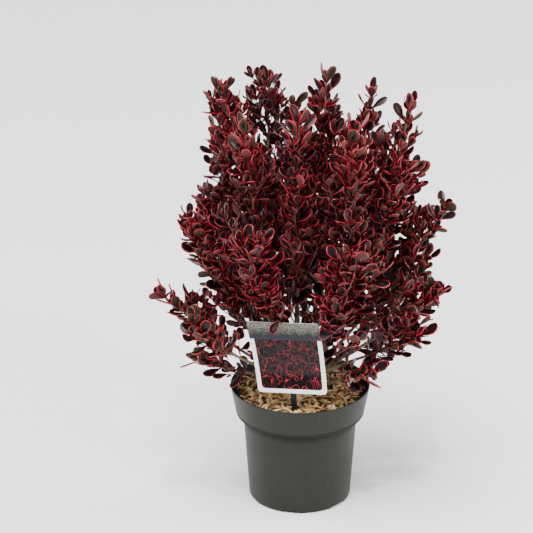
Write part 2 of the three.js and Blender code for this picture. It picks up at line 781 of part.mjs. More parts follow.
// Tells whether a leaf is clear of the twigs and the other leaves of its mass.
function clearOfMass(entry, others, twigPoints) {
  return !twigPoints.some((point) => nearLeaf(entry, point))
    && !others.some((other) => (
      entry.points.some((point) => nearLeaf(other, point))
      || other.points.some((point) => nearLeaf(entry, point))
    ));
}

// Picks the leaves that fit, each at the largest size that does.
function fitLeaves(fits, shoot, leaves, others, twigPoints) {
  const fitted = [];
  for (const leaf of leaves) {
    const entry = LEAF_SIZES
      .map((size) => ({ leaf, size, points: leafSamples(leaf, size) }))
      .find((tried) => tried.points.every((point) => fits(shoot, point, LEAF_THICKNESS / 2))
        && clearOfMass(tried, [...others, ...fitted], twigPoints));
    if (entry) {
      fitted.push(entry);
    }
  }
  return fitted;
}

// A direction square to a twig, turned round it by an angle in degrees.
function aroundTwig(along, turn) {
  const steady = Math.abs(along.z) > STEEP_SHARE ? ACROSS : UP;
  const first = steady.clone().addScaledVector(along, -steady.dot(along)).normalize();
  return first.applyAxisAngle(along, THREE.MathUtils.degToRad(turn));
}

// Opposite pairs along a twig, from a first length to just short of its end.
function placePairs(curve, first, turn, random) {
  const leaves = [];
  const length = curve.getLength();
  const end = length - LAST_PAIR_FROM_END;
  const count = Math.max(1, Math.round((end - first) / LEAF_SPACING));
  for (let i = 0; i <= count; i += 1) {
    const share = THREE.MathUtils.lerp(Math.min(first, end), end, i / count) / length;
    const along = curve.getTangentAt(share);
    const pairTurn = turn + i * 90 + PAIR_TURN_JITTER * (random() - 0.5);
    const last = i === count;
    const open = last ? TIP_LEAF_OPEN : between(LEAF_OPEN, random());
    for (const side of [0, 180]) {
      const outward = aroundTwig(along, pairTurn + side);
      leaves.push(leafFrame(curve.getPointAt(share), along, outward, open));
    }
  }
  return leaves;
}

// A lateral rises from the leader; one that would leave the space is tried shorter.
function placeLateral(fits, shoot, root, along, turn, random) {
  const spread = THREE.MathUtils.degToRad(between(LATERAL_SPREAD, random()));
  const outward = aroundTwig(along, turn);
  const heading = along.clone().multiplyScalar(Math.cos(spread)).addScaledVector(outward, Math.sin(spread));
  heading.addScaledVector(UP, LATERAL_LIFT).normalize();
  const full = between(LATERAL_LENGTH, random());
  for (const share of LATERAL_TRIES) {
    const curve = new THREE.LineCurve3(root, root.clone().addScaledVector(heading, full * share));
    const clear = LATERAL_TEST_SHARES.every((t) => fits(shoot, curve.getPoint(t), LATERAL_FOOT_RADIUS));
    if (clear) {
      return curve;
    }
  }
  return null;
}

// Where laterals leave a leader: its root, the leader's direction there and its turn.
function lateralStarts(shoot, firstTurn) {
  const { leader } = shoot;
  const length = leader.getLength();
  const every = shoot.whole.v3.z > HIGH_TIP_Z ? LATERAL_EVERY_HIGH : LATERAL_EVERY_LOW;
  const starts = [];
  for (let node = 1; node < Math.floor(length / LEAF_SPACING); node += every) {
    for (const [step, side] of LATERAL_PLACES) {
      const share = Math.min(((node + step) * LEAF_SPACING) / length, 1);
      const turn = firstTurn + node * GOLDEN_ANGLE + side;
      starts.push({ root: leader.getPointAt(share), along: leader.getTangentAt(share), turn });
    }
  }
  return starts;
}

// The twigs and leaves of one mass, grown from its leader by a seeded rule. A lateral that
// would run through a leaf or carry too few is left off.
function growMass(fits, shoot) {
  const random = seeded(shoot.massSeed);
  const { leader } = shoot;
  const twigs = [toSolid(limbGeometry(leader, leaderRadiusAt, TWIG_SIDES, LEADER_RINGS))];
  const twigPoints = axisSamples(leader, leaderRadiusAt).map(({ point }) => point);
  const firstTurn = 360 * random();
  const leaderPairs = placePairs(leader, FIRST_LEADER_PAIR, firstTurn, random);
  const leaves = fitLeaves(fits, shoot, leaderPairs, [], twigPoints);
  for (const { root, along, turn } of lateralStarts(shoot, firstTurn)) {
    const lateral = placeLateral(fits, shoot, root, along, turn, random);
    if (lateral) {
      const points = axisSamples(lateral, lateralRadiusAt).map(({ point }) => point);
      const blocked = points.slice(1).some((point) => leaves.some((leaf) => nearLeaf(leaf, point)));
      const pairs = placePairs(lateral, FIRST_LATERAL_PAIR, turn, random);
      const grown = fitLeaves(fits, shoot, pairs, leaves, [...twigPoints, ...points]);
      if (!blocked && grown.length >= FEWEST_LEAVES_ON_LATERAL) {
        twigs.push(toSolid(limbGeometry(lateral, lateralRadiusAt, TWIG_SIDES, LATERAL_RINGS)));
        twigPoints.push(...points);
        leaves.push(...grown);
      }
    }
  }
  return solids.Manifold.union([...twigs, ...leaves.map(({ leaf, size }) => leafSolid(leaf, size))]);
}

// Boughs start inside their stem and are cut back clear of it and of each other.
function makeBoughs(plant) {
  return plant.stems.flatMap(({ name, curve }) => {
    let kept = stemSolid(curve, FIT_GAP);
    return plant.shoots.filter(({ stem }) => stem === name).reverse().map(({ place, bough }) => {
      const limb = toSolid(limbGeometry(bough, boughRadiusAt, BOUGH_SIDES, BOUGH_RINGS));
      const solid = limb.subtract(kept);
      const wider = limbGeometry(bough, (s) => boughRadiusAt(s) + FIT_GAP, BOUGH_SIDES, BOUGH_RINGS);
      kept = kept.add(toSolid(wider));
      return namedMesh(`bough_${place}`, toGeometry(solid), 'bark');
    });
  });
}

function build() {
  const plantPot = new THREE.Group();
  plantPot.name = 'potted_coprosma';
  const label = labelFrame();
  const slot = toSolid(stickGeometry(FIT_GAP).applyMatrix4(label.lean.matrixWorld));
  label.lean.add(makeCard());
  label.lean.add(namedMesh('label_stick', toGeometry(toSolid(stickGeometry(0))), 'stick'));
  plantPot.add(makePot());
  plantPot.add(namedMesh('growing_medium', toGeometry(mediumSolid().subtract(slot)), 'medium'));
  plantPot.add(namedMesh('husk_mulch', toGeometry(mulchSolid().subtract(slot)), 'mulch'));
  plantPot.add(label.turn);

  const plant = layOutPlant();
  const fits = makeSpaceTest(plant, label);
  for (const { name, curve } of plant.stems) {
    plantPot.add(namedMesh(`stem_${name}`, toGeometry(stemSolid(curve, 0)), 'bark'));
  }
  plantPot.add(...makeBoughs(plant));
  for (const shoot of plant.shoots) {
    plantPot.add(namedMesh(`foliage_${shoot.place}`, toGeometry(growMass(fits, shoot)), 'foliage'));
  }
  return plantPot;
}

export default build();
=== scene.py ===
# %% [markdown]
# # A potted coprosma with crimson-edged leaves
#
# The plant is a small evergreen shrub in a nursery pot, about 46 cm tall in all. Its leaves
# are nearly black with a crimson edge. This lesson dresses the packed CAD model: the CAD
# solids carry the shape, and each cell here gives one piece its true surface. The model is
# loaded first, because it is the frame that every piece is built in: metres, Z up, the
# origin under the middle of the pot, and the plant label in front of the stems, towards -Y.

# %% The packed model
import json
import math
from bisect import bisect

import bmesh
import bpy
from mathutils import Matrix, Quaternion, Vector
from mathutils.kdtree import KDTree

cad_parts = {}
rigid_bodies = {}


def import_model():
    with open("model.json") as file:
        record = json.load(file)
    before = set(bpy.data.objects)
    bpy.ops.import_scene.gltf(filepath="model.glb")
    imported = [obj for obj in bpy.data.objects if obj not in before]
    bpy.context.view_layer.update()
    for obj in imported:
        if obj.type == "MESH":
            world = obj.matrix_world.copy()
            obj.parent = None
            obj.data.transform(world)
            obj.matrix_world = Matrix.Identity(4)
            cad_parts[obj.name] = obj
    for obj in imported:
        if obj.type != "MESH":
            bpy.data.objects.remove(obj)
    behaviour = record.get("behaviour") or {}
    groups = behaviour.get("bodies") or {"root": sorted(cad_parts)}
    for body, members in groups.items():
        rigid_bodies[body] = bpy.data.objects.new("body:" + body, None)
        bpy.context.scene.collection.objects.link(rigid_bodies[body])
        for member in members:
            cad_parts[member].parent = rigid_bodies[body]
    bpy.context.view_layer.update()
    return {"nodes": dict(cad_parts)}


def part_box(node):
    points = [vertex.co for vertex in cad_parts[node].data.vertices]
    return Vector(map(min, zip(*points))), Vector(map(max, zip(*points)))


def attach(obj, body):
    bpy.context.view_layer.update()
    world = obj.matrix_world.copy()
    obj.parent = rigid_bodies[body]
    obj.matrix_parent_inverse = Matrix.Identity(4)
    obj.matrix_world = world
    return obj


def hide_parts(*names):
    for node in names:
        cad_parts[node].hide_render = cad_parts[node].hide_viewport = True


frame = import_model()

# %% [markdown]
# ## Camera
# A shop photo of a plant is taken from far off with a long lens, a little from above. The
# rim of the pot shows how far above: a circle seen as an ellipse gives the pitch. The
# camera is placed once, before any piece, so that every render is made in one frame.

# %% Camera
VIEW_PITCH = 23.24
VIEW_LENS = 209.0
VIEW_PLACE = (-0.0337, -2.80, 1.450)


def add_object(name, data):
    """A new object in the scene, from a mesh, a lamp or a camera."""
    made = bpy.data.objects.new(name, data)
    bpy.context.scene.collection.objects.link(made)
    return made


camera = add_object("camera", bpy.data.cameras.new("camera"))
camera.data.lens = VIEW_LENS
camera.location = VIEW_PLACE
camera.rotation_euler = (math.radians(90 - VIEW_PITCH), 0, 0)
bpy.context.scene.camera = camera
print("camera distance in metres:", round(camera.location.length, 2))

# %% [markdown]
# ## Nodes as expressions
# A material is a sum: so much of this pattern, times that mask. Linking nodes one by one
# hides the sum, so a small class wraps a socket and lets Python's own signs add the Math
# nodes, for materials and for Geometry Nodes alike. The reflected forms of the signs let a
# plain number stand first, as in 1 - mask.

# %% Nodes as expressions: wires
class Wire:
    """A node's output that can stand in an expression."""

    def __init__(self, board, socket):
        self.board = board
        self.socket = socket

    def __add__(self, other):
        return self.board.maths("ADD", self, other)

    def __sub__(self, other):
        return self.board.maths("SUBTRACT", self, other)

    def __mul__(self, other):
        return self.board.maths("MULTIPLY", self, other)

    def __pow__(self, other):
        return self.board.maths("POWER", self, other)

    def __rsub__(self, other):
        return self.board.maths("SUBTRACT", other, self)

    __radd__ = __add__
    __rmul__ = __mul__


print("operators that add Math nodes: + - * **")

# %% [markdown]
# A second class wraps the node tree. It makes any other node in one call, from the node's
# type, its settings, and the values or wires of its sockets. The settings come first,
# because they decide which sockets a node has.

# %% Nodes as expressions: boards
def pick(sockets, key):
    """A socket by its number, its identifier or its name."""
    if isinstance(key, int):
        return sockets[key]
    exact = [socket for socket in sockets if socket.identifier == key]
    return (exact or [socket for socket in sockets if socket.name == key])[0]


class Board:
    """A node tree that is filled by calls and expressions."""

    def __init__(self, tree):
        self.tree = tree

    def node(self, kind, settings=None, sockets=None, output=0):
        """A new node of a type, set up and linked, as the wire of one of its outputs."""
        made = self.tree.nodes.new(kind)
        for name, value in (settings or {}).items():
            if name == "stops":
                ramp = made.color_ramp
                while len(ramp.elements) < len(value):
                    ramp.elements.new(1)
                for element, (position, colour) in zip(ramp.elements, value):
                    element.position = position
                    element.color = (*colour, 1)
            else:
                setattr(made, name, value)
        for key, value in (sockets or {}).items():
            socket = pick(made.inputs, key)
            if isinstance(value, Wire):
                self.tree.links.new(value.socket, socket)
            else:
                socket.default_value = value
        return Wire(self, pick(made.outputs, output)) if made.outputs else None

    def maths(self, operation, first, second):
        """A Math node on two wires or numbers."""
        return self.node("ShaderNodeMath", {"operation": operation}, {0: first, 1: second})

    def mix(self, first, second, share):
        """Two colours, blended. A plain colour is given by its red, green and blue."""
        ends = [colour if isinstance(colour, Wire) else (*colour, 1) for colour in (first, second)]
        sockets = {"A_Color": ends[0], "B_Color": ends[1], "Factor_Float": share}
        return self.node("ShaderNodeMix", {"data_type": "RGBA"}, sockets, "Result_Color")


print("methods of a board:", [name for name in vars(Board) if not name.startswith("_")])

# %% [markdown]
# ## A finish
# Each finish starts as one Principled shader. What is the same all over the surface is set
# on the shader's own socket. What varies is an expression, and is linked.

# %% A finish
def new_finish(name, colour, roughness, shine=0.5, coat=0.0, coat_roughness=0.1):
    """A material with a plain colour and gloss, and the board that patterns are added on."""
    material = bpy.data.materials.new(name)
    material.use_nodes = True
    shader = material.node_tree.nodes["Principled BSDF"]
    shader.inputs["Base Color"].default_value = (*colour, 1)
    shader.inputs["Roughness"].default_value = roughness
    shader.inputs["Specular IOR Level"].default_value = shine
    shader.inputs["Coat Weight"].default_value = coat
    shader.inputs["Coat Roughness"].default_value = coat_roughness
    return material, Board(material.node_tree), shader


def lay_on(board, shader, **patterns):
    """Links patterns to the shader's sockets, such as Base_Color or Roughness."""
    for name, wire in patterns.items():
        board.tree.links.new(wire.socket, shader.inputs[name.replace("_", " ")])


def raised(board, height, strength, depth):
    """A bump made from a pattern of heights, with its depth in metres."""
    sockets = {"Strength": strength, "Distance": depth, "Height": height}
    return board.node("ShaderNodeBump", {}, sockets, "Normal")


def own_place(board):
    """The place on the piece in metres, which doesn't move with the camera."""
    return board.node("ShaderNodeTexCoord", {}, {}, "Object")


def mottle(board, place, scale, detail=3.0):
    """Soft uneven patches from 0 to 1, so many to the metre."""
    sockets = {"Vector": place, "Scale": scale, "Detail": detail}
    return board.node("ShaderNodeTexNoise", {}, sockets, "Fac")


def stretched(board, place, scale):
    """A place scaled along each axis, so that a pattern on it is drawn out one way."""
    return board.node("ShaderNodeMapping", {}, {"Vector": place, "Scale": scale})


def over(board, value, edge, soft=0.25):
    """1 where a value is over an edge and 0 where it is under, with a soft step."""
    sockets = {"Value": value, "From Min": edge - soft, "From Max": edge + soft}
    return board.node("ShaderNodeMapRange", {}, sockets)


# %% [markdown]
# ## Pieces
# A finished piece rides on the plant's only body and stands for the CAD nodes that it
# replaces, which are hidden.

# %% Pieces
def finished(piece, nodes):
    """Attaches a piece to the body it rides on and hides the nodes it stands for."""
    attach(piece, "root")
    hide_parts(*nodes)
    piece.data.calc_loop_triangles()
    print(piece.name, "triangles:", len(piece.data.loop_triangles))


def new_piece(name, vertices, faces):
    """A linked object made from points in metres and faces."""
    mesh = bpy.data.meshes.new(name)
    mesh.from_pydata(vertices, [], faces)
    return add_object(name, mesh)


def made_plain(piece, modifier):
    """Keeps the mesh that a modifier makes, and takes the modifier off."""
    graph = bpy.context.evaluated_depsgraph_get()
    made = bpy.data.meshes.new_from_object(
        piece.evaluated_get(graph), preserve_all_data_layers=True, depsgraph=graph
    )
    piece.modifiers.remove(modifier)
    piece.data = made
    made.name = piece.name
    return piece


def smoothed(piece, angle):
    """Smooth shading that keeps the edges sharper than an angle in degrees."""
    piece.data.polygons.foreach_set("use_smooth", [True] * len(piece.data.polygons))
    piece.data.set_sharp_from_angle(angle=math.radians(angle))


def nodes_named(start):
    """The CAD nodes whose names start with a word."""
    return [name for name in frame["nodes"] if name.startswith(start)]


def print_heights(node):
    """Prints how low and how high a CAD node reaches."""
    low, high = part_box(node)
    print(node, "in metres from", round(low.z, 3), "to", round(high.z, 3))


print("foliage masses:", len(nodes_named("foliage_")), "boughs:", len(nodes_named("bough_")))

# %% [markdown]
# ## Recipes in Geometry Nodes
# Leaves, twigs and husk chips repeat hundreds or thousands of times, so each kind is made by
# one tree of Geometry Nodes with named inputs. Drawing a tree by hand would hide its sizes:
# here a tree is built by calls, its inputs are set by their identifiers before it is run,
# and the result is kept as a plain mesh without the modifier.

# %% Recipes in Geometry Nodes
def new_recipe(name, inputs):
    """A Geometry Nodes tree with named inputs, and those inputs as wires."""
    tree = bpy.data.node_groups.new(name, "GeometryNodeTree")
    tree.interface.new_socket(name="Geometry", in_out="OUTPUT", socket_type="NodeSocketGeometry")
    tree.interface.new_socket(name="Geometry", in_out="INPUT", socket_type="NodeSocketGeometry")
    for label, kind in inputs.items():
        tree.interface.new_socket(name=label, in_out="INPUT", socket_type="NodeSocket" + kind)
    board = Board(tree)
    entry = tree.nodes.new("NodeGroupInput")
    wires = {socket.name: Wire(board, socket) for socket in entry.outputs if socket.name}
    return board, wires


def end_recipe(board, geometry, *finishes):
    """Makes instances real, sets each finish on the faces chosen for it, and ends the tree."""
    geometry = board.node("GeometryNodeRealizeInstances", {}, {"Geometry": geometry})
    for finish, chosen in finishes:
        sockets = {"Geometry": geometry, "Selection": chosen, "Material": finish}
        geometry = board.node("GeometryNodeSetMaterial", {}, sockets)
    board.node("NodeGroupOutput", {}, {"Geometry": geometry})


def run_recipe(board, name, mesh, values):
    """Runs a recipe on a mesh and keeps the result as a plain piece."""
    piece = add_object(name, mesh)
    modifier = piece.modifiers.new("recipe", "NODES")
    modifier.node_group = board.tree
    identifiers = {
        item.name: item.identifier
        for item in board.tree.interface.items_tree
        if item.item_type == "SOCKET" and item.in_out == "INPUT"
    }
    for label, value in values.items():
        modifier[identifiers[label]] = value
    return made_plain(piece, modifier)


def named_value(board, name, kind):
    """An attribute of the points, such as a thickness, as a wire."""
    settings = {"data_type": kind}
    return board.node("GeometryNodeInputNamedAttribute", settings, {"Name": name}, "Attribute")


def points_mesh(name, points, edges, **attributes):
    """A mesh of bare points in metres that carry named values or directions."""
    mesh = bpy.data.meshes.new(name)
    mesh.from_pydata(points, edges, [])
    for label, values in attributes.items():
        if isinstance(values[0], Vector):
            layer = mesh.attributes.new(label, "FLOAT_VECTOR", "POINT")
            layer.data.foreach_set("vector", [part for vector in values for part in vector])
        else:
            layer = mesh.attributes.new(label, "FLOAT", "POINT")
            layer.data.foreach_set("value", values)
    return mesh


print("recipes end in Realize Instances and Set Material")

# %% [markdown]
# ## The nursery pot
# The pot is thin injection-moulded plastic: a tapering body, a soft shoulder, and a wider
# band up to a thin lip. It could be turned as a solid of revolution with a Screw modifier,
# but its outline is known point by point, so the rings are laid in code, with every corner
# rounded by a few extra rings. The sizes are those of the CAD pot.

# %% The nursery pot: its outline
MM = 0.001
POT_OUTLINE = [(0, 0), (49, 0), (50.4, 0.6), (51, 2), (51.15, 4.4), (56.3, 77), (57.0, 87.0)]
POT_SHOULDER = [(57.3, 88.2), (58.3, 88.9), (62.4, 90.1), (63.9, 90.8), (64.5, 91.8), (64.75, 93.3)]
POT_BAND = [(65.0, 94.9), (67.2, 106), (69.5, 118.2), (69.85, 120.0), (69.8, 120.6), (69.4, 120.95)]
POT_INSIDE = [
    (68.9, 120.9), (68.5, 120.3), (68.35, 119.2), (63.1, 92.6), (55.5, 89.0), (49.5, 3.8), (0, 3.8),
]
POT_SEGMENTS = 144


def turned(name, outline, segments):
    """A closed solid of revolution from radius and height pairs in millimetres."""
    vertices = []
    rings = []
    for radius, z in outline:
        count = segments if radius else 1
        rings.append(range(len(vertices), len(vertices) + count))
        for i in range(count):
            angle = 2 * math.pi * i / segments
            vertices.append((radius * MM * math.cos(angle), radius * MM * math.sin(angle), z * MM))
    faces = []
    for low, high in zip(rings, rings[1:]):
        for i in range(segments):
            j = (i + 1) % segments
            corners = [low[i % len(low)], low[j % len(low)], high[j % len(high)], high[i % len(high)]]
            faces.append(list(dict.fromkeys(corners)))
    return new_piece(name, vertices, faces)


pot_rings = POT_OUTLINE + POT_SHOULDER + POT_BAND + POT_INSIDE
pot = turned("pot_moulded", pot_rings, POT_SEGMENTS)
print("pot rings:", len(pot_rings))

# %% [markdown]
# Water leaves through six holes, each over a shallow arched notch in the foot. A notch is
# cut with a Boolean, as a mould would form it, from an arch drawn as a few points.

# %% The nursery pot: its drain notches
DRAIN_AZIMUTHS = [259 + 60 * i for i in range(6)]
NOTCH_REACH = (34, 70)
NOTCH_ARCH = [
    (-9.5, -1), (9.5, -1), (9.5, 0.9), (8.9, 1.8), (7.6, 2.2), (-7.6, 2.2), (-8.9, 1.8), (-9.5, 0.9),
]
HOLE_REACH, HOLE_RADIUS, HOLE_DEPTH, HOLE_SEGMENTS = 41, 4, 16, 24


def drain_cutter():
    """All notches and holes as one mesh, in metres."""
    cutter = bmesh.new()
    for azimuth in DRAIN_AZIMUTHS:
        turn = Matrix.Rotation(math.radians(azimuth), 4, "Z")
        ends = [
            [cutter.verts.new(turn @ Vector((x * MM, y * MM, z * MM))) for y, z in NOTCH_ARCH]
            for x in NOTCH_REACH
        ]
        cutter.faces.new(ends[0])
        cutter.faces.new(ends[1])
        for i in range(len(NOTCH_ARCH)):
            j = (i + 1) % len(NOTCH_ARCH)
            cutter.faces.new((ends[0][i], ends[0][j], ends[1][j], ends[1][i]))
        bmesh.ops.create_cone(
            cutter, cap_ends=True, segments=HOLE_SEGMENTS,
            radius1=HOLE_RADIUS * MM, radius2=HOLE_RADIUS * MM, depth=HOLE_DEPTH * MM,
            matrix=turn @ Matrix.Translation((HOLE_REACH * MM, 0, 0)),
        )
    bmesh.ops.recalc_face_normals(cutter, faces=cutter.faces)
    mesh = bpy.data.meshes.new("drain_cutter")
    cutter.to_mesh(mesh)
    return mesh


cutter = add_object("drain_cutter", drain_cutter())
cut = pot.modifiers.new("drains", "BOOLEAN")
cut.object = cutter
cut.use_self = True
made_plain(pot, cut)
bpy.data.objects.remove(cutter)
smoothed(pot, 40)
print("pot faces after the drains are cut:", len(pot.data.polygons))

# %% [markdown]
# The plastic is dark grey with a green tinge, satin rather than glossy. Recycled plastic is
# never even: there are faint flow marks round the pot, a fine grain from the mould, and
# some dust and scuffs that take the shine off in patches. Under the band a strip of painted
# shade darkens the body and dulls its shine, where the band's overhang shades it.

# %% The nursery pot: its plastic
RECESS_FOOT, RECESS_TOP = 0.084, 0.095
pot_finish, board, shader = new_finish("pot plastic", (0.014, 0.014, 0.011), 0.46, 0.22)
place = own_place(board)
flow_marks = mottle(board, stretched(board, place, (6, 6, 60)), 3.0)
dust = mottle(board, place, 38.0, 5.0)
grain = mottle(board, place, 2600.0, 2.0)
worn = over(board, mottle(board, stretched(board, place, (9, 9, 2)), 40.0, 6.0), 0.66, 0.08)
height = board.node("ShaderNodeSeparateXYZ", {}, {"Vector": place}, "Z") + dust * 0.002
# painted shade: a soft dark strip on the body under the band, which also raises the roughness there
painted_shade_under_band = over(board, height, RECESS_FOOT, 0.004) * (1 - over(board, height, RECESS_TOP, 0.0015))
clean = board.mix((0.0086, 0.0086, 0.0064), (0.0148, 0.0148, 0.0115), flow_marks * 0.6 + dust * 0.4)
scuffed = board.mix(clean, (0.036, 0.035, 0.029), worn * 0.35)
lay_on(
    board, shader,
    # the painted shade under the band darkens the colour here
    Base_Color=board.mix(scuffed, (0.004, 0.004, 0.004), painted_shade_under_band * 0.6),
    Roughness=0.40 + dust * 0.16 + worn * 0.10 + painted_shade_under_band * 0.30,
    Normal=raised(board, grain + flow_marks * 2.0, 0.25, 0.00006),
)
pot.data.materials.append(pot_finish)
finished(pot, ["pot"])

# %% [markdown]
# ## What the pot is filled with
# The growing medium is hidden by the mulch, so its CAD solid stays and only gets the look
# of damp peat: nearly black, crumbly, without shine.

# %% The growing medium
peat, board, shader = new_finish("peat", (0.02, 0.014, 0.01), 0.95)
place = own_place(board)
crumbs = board.node("ShaderNodeTexVoronoi", {}, {"Vector": place, "Scale": 420.0}, "Distance")
pale = crumbs * mottle(board, place, 90.0) * 1.6
tone = board.mix((0.012, 0.008, 0.006), (0.05, 0.033, 0.022), pale)
lay_on(board, shader, Base_Color=tone, Normal=raised(board, crumbs, 0.8, 0.0008))
frame["nodes"]["growing_medium"].material_slots[0].material = peat
print_heights("growing_medium")

# %% [markdown]
# The mulch is coarse coconut husk: fibres, slivers and small chips, tan to golden brown,
# lying every way with dark gaps between them. Its lower part is one bumpy bed in the shade
# of the chips. The bed is a few rings of points raised and lowered by a repeatable rule.

# %% The mulch: its bed
GROUND_Z = 114
BED_SIDE = [(0, 103.2), (65.2, 103.2), (66.6, 111.4)]
BED_RADII = range(62, 2, -6)
BED_TOP = GROUND_Z - 2.6
BED_LOOSE_FROM = GROUND_Z - 3
BED_BUMP = 1.1
BED_SEED = 7
BED_SEGMENTS = 72


def seeded(seed):
    """Repeatable random numbers from 0 to 1, by the same rule as the CAD source."""
    state = seed & 0xFFFFFFFF

    def chance():
        nonlocal state
        state = (state + 0x6D2B79F5) & 0xFFFFFFFF
        t = ((state ^ (state >> 15)) * (state | 1)) & 0xFFFFFFFF
        t = ((t + (((t ^ (t >> 7)) * (t | 61)) & 0xFFFFFFFF)) & 0xFFFFFFFF) ^ t
        return ((t ^ (t >> 14)) & 0xFFFFFFFF) / 4294967296

    return chance


bed_rings = BED_SIDE + [(radius, BED_TOP) for radius in BED_RADII] + [(0, BED_TOP)]
bed = turned("mulch_bed", bed_rings, BED_SEGMENTS)
bump = seeded(BED_SEED)
loose = [vertex for vertex in bed.data.vertices if vertex.co.z > BED_LOOSE_FROM * MM]
for vertex in loose:
    vertex.co.z += BED_BUMP * MM * (2 * bump() - 1)
smoothed(bed, 50)
print("bed points raised or lowered:", len(loose))

# %% [markdown]
# A husk fibre is a flat strip that bends and twists as it dries. Four forms are enough,
# because each is turned, tilted and scaled differently: a long fibre, a curl, a sliver and
# a blunt chip. A fibre carries a UV map that runs along it, so that its streaks do too.

# %% The mulch: forms of husk
HUSK_FORMS = {
    "husk_curl": (13, 2.6, 0.9, 5.0, 60),
    "husk_chip": (8, 4.6, 2.2, 0.8, 10),
    "husk_fibre": (19, 1.7, 0.8, 2.6, 35),
    "husk_sliver": (14, 2.3, 1.2, 1.2, -25),
}
HUSK_SHARES = [0, 0.08, 0.36, 0.68, 0.93, 1]
HUSK_END, HUSK_NARROWING = 0.35, 0.25


def husk_form(name, length, width, thickness, bow, twist):
    """A bent strip about the origin, four-sided, narrower at its ends."""
    vertices = []
    for share in HUSK_SHARES:
        narrow = HUSK_END if share in (0, 1) else 1 - HUSK_NARROWING * abs(2 * share - 1)
        turn = math.radians(twist) * (share - 0.5)
        lift = bow * 4 * share * (1 - share) - bow * 0.5
        for side, face in ((-1, -1), (1, -1), (1, 1), (-1, 1)):
            x, z = side * width * narrow / 2, face * thickness * narrow / 2
            across = x * math.cos(turn) - z * math.sin(turn)
            above = x * math.sin(turn) + z * math.cos(turn)
            vertices.append((across * MM, (share - 0.5) * length * MM, (above + lift) * MM))
    rings = len(HUSK_SHARES)
    faces = [(0, 1, 2, 3), tuple(4 * (rings - 1) + i for i in (3, 2, 1, 0))]
    for ring in range(rings - 1):
        for i in range(4):
            j = (i + 1) % 4
            faces.append((4 * ring + i, 4 * ring + 4 + i, 4 * ring + 4 + j, 4 * ring + j))
    form = new_piece(name, vertices, faces)
    layer = form.data.uv_layers.new(name="along_fibre")
    for loop in form.data.loops:
        layer.data[loop.index].uv = (loop.vertex_index % 4 / 4, HUSK_SHARES[loop.vertex_index // 4])
    smoothed(form, 60)
    return form


def shelf(name, forms):
    """A collection that a recipe takes its forms from."""
    collection = bpy.data.collections.new(name)
    bpy.context.scene.collection.children.link(collection)
    for form in forms:
        bpy.context.scene.collection.objects.unlink(form)
        collection.objects.link(form)
    return collection


def clear_shelf(collection):
    """Removes the forms once their recipe has run."""
    for form in list(collection.objects):
        bpy.data.objects.remove(form)
    bpy.data.collections.remove(collection)


husk_shelf = shelf("husk_forms", [husk_form(name, *sizes) for name, sizes in HUSK_FORMS.items()])

# %% [markdown]
# Husk and leaves are set out in one way: each point gets one of a few forms, picked at
# random. Both recipes use the same two functions for it. A random value comes from a seed
# and the point's own number, so it is the same at every run.

# %% The mulch: forms on points
def random_value(board, low, high, seed, kind="FLOAT"):
    """A random number for each point, or a random whole number."""
    names = {"FLOAT": ("Min_001", "Max_001", 1), "INT": ("Min_002", "Max_002", 2)}[kind]
    sockets = {names[0]: low, names[1]: high, "Seed": seed}
    return board.node("FunctionNodeRandomValue", {"data_type": kind}, sockets, names[2])


def forms_on_points(board, points, forms, count, seed, rotation, scale):
    """One of a shelf's forms on each point, picked at random."""
    picked = board.node("GeometryNodeCollectionInfo", {}, {
        "Collection": forms, "Separate Children": True, "Reset Children": True,
    })
    return board.node("GeometryNodeInstanceOnPoints", {}, {
        "Points": points, "Instance": picked, "Pick Instance": True,
        "Instance Index": random_value(board, 0, count - 1, seed, "INT"),
        "Rotation": rotation, "Scale": scale,
    })


# %% [markdown]
# The recipe scatters points over a level face, sets a form on each, and turns it any way
# round with a small tilt. Poisson spacing keeps the points apart, so that no two forms lie
# in one place. Each gets a random shade, which the finish reads.

# %% The mulch: the recipe that scatters husk
board, wires = new_recipe("scatter_husk", {
    "Forms": "Collection",
    "Least gap": "Float",
    "Most to the square metre": "Float",
    "Tilt in degrees": "Float",
    "Smallest": "Float",
    "Largest": "Float",
    "Darkest": "Float",
    "Lightest": "Float",
    "Seed": "Int",
    "Finish": "Material",
})
scattered = board.node(
    "GeometryNodeDistributePointsOnFaces", {"distribute_method": "POISSON"},
    {
        "Mesh": wires["Geometry"], "Distance Min": wires["Least gap"],
        "Density Max": wires["Most to the square metre"], "Seed": wires["Seed"],
    },
    "Points",
)
to_radians = math.pi / 180
tilt = wires["Tilt in degrees"] * to_radians
euler = board.node("ShaderNodeCombineXYZ", {}, {
    "X": random_value(board, -1.0, 1.0, wires["Seed"] + 1) * tilt,
    "Y": random_value(board, -1.0, 1.0, wires["Seed"] + 2) * tilt,
    "Z": random_value(board, 0.0, 2 * math.pi, wires["Seed"] + 3),
})
laid = forms_on_points(
    board, scattered, wires["Forms"], len(HUSK_FORMS), wires["Seed"] + 4,
    rotation=board.node("FunctionNodeEulerToRotation", {}, {"Euler": euler}),
    scale=random_value(board, wires["Smallest"], wires["Largest"], wires["Seed"] + 5),
)
shade = random_value(board, wires["Darkest"], wires["Lightest"], wires["Seed"] + 6)
shaded = board.node(
    "GeometryNodeStoreNamedAttribute", {"data_type": "FLOAT", "domain": "INSTANCE"},
    {"Geometry": laid, "Name": "shade", "Value": shade},
)
end_recipe(board, shaded, (wires["Finish"], True))
husk_recipe = board
print("inputs of the husk recipe:", list(wires))

# %% [markdown]
# Dry husk is matt and streaky. Its shade runs from dark brown over tan to pale gold, one
# shade to a fibre, with darker streaks along it and a rough surface.

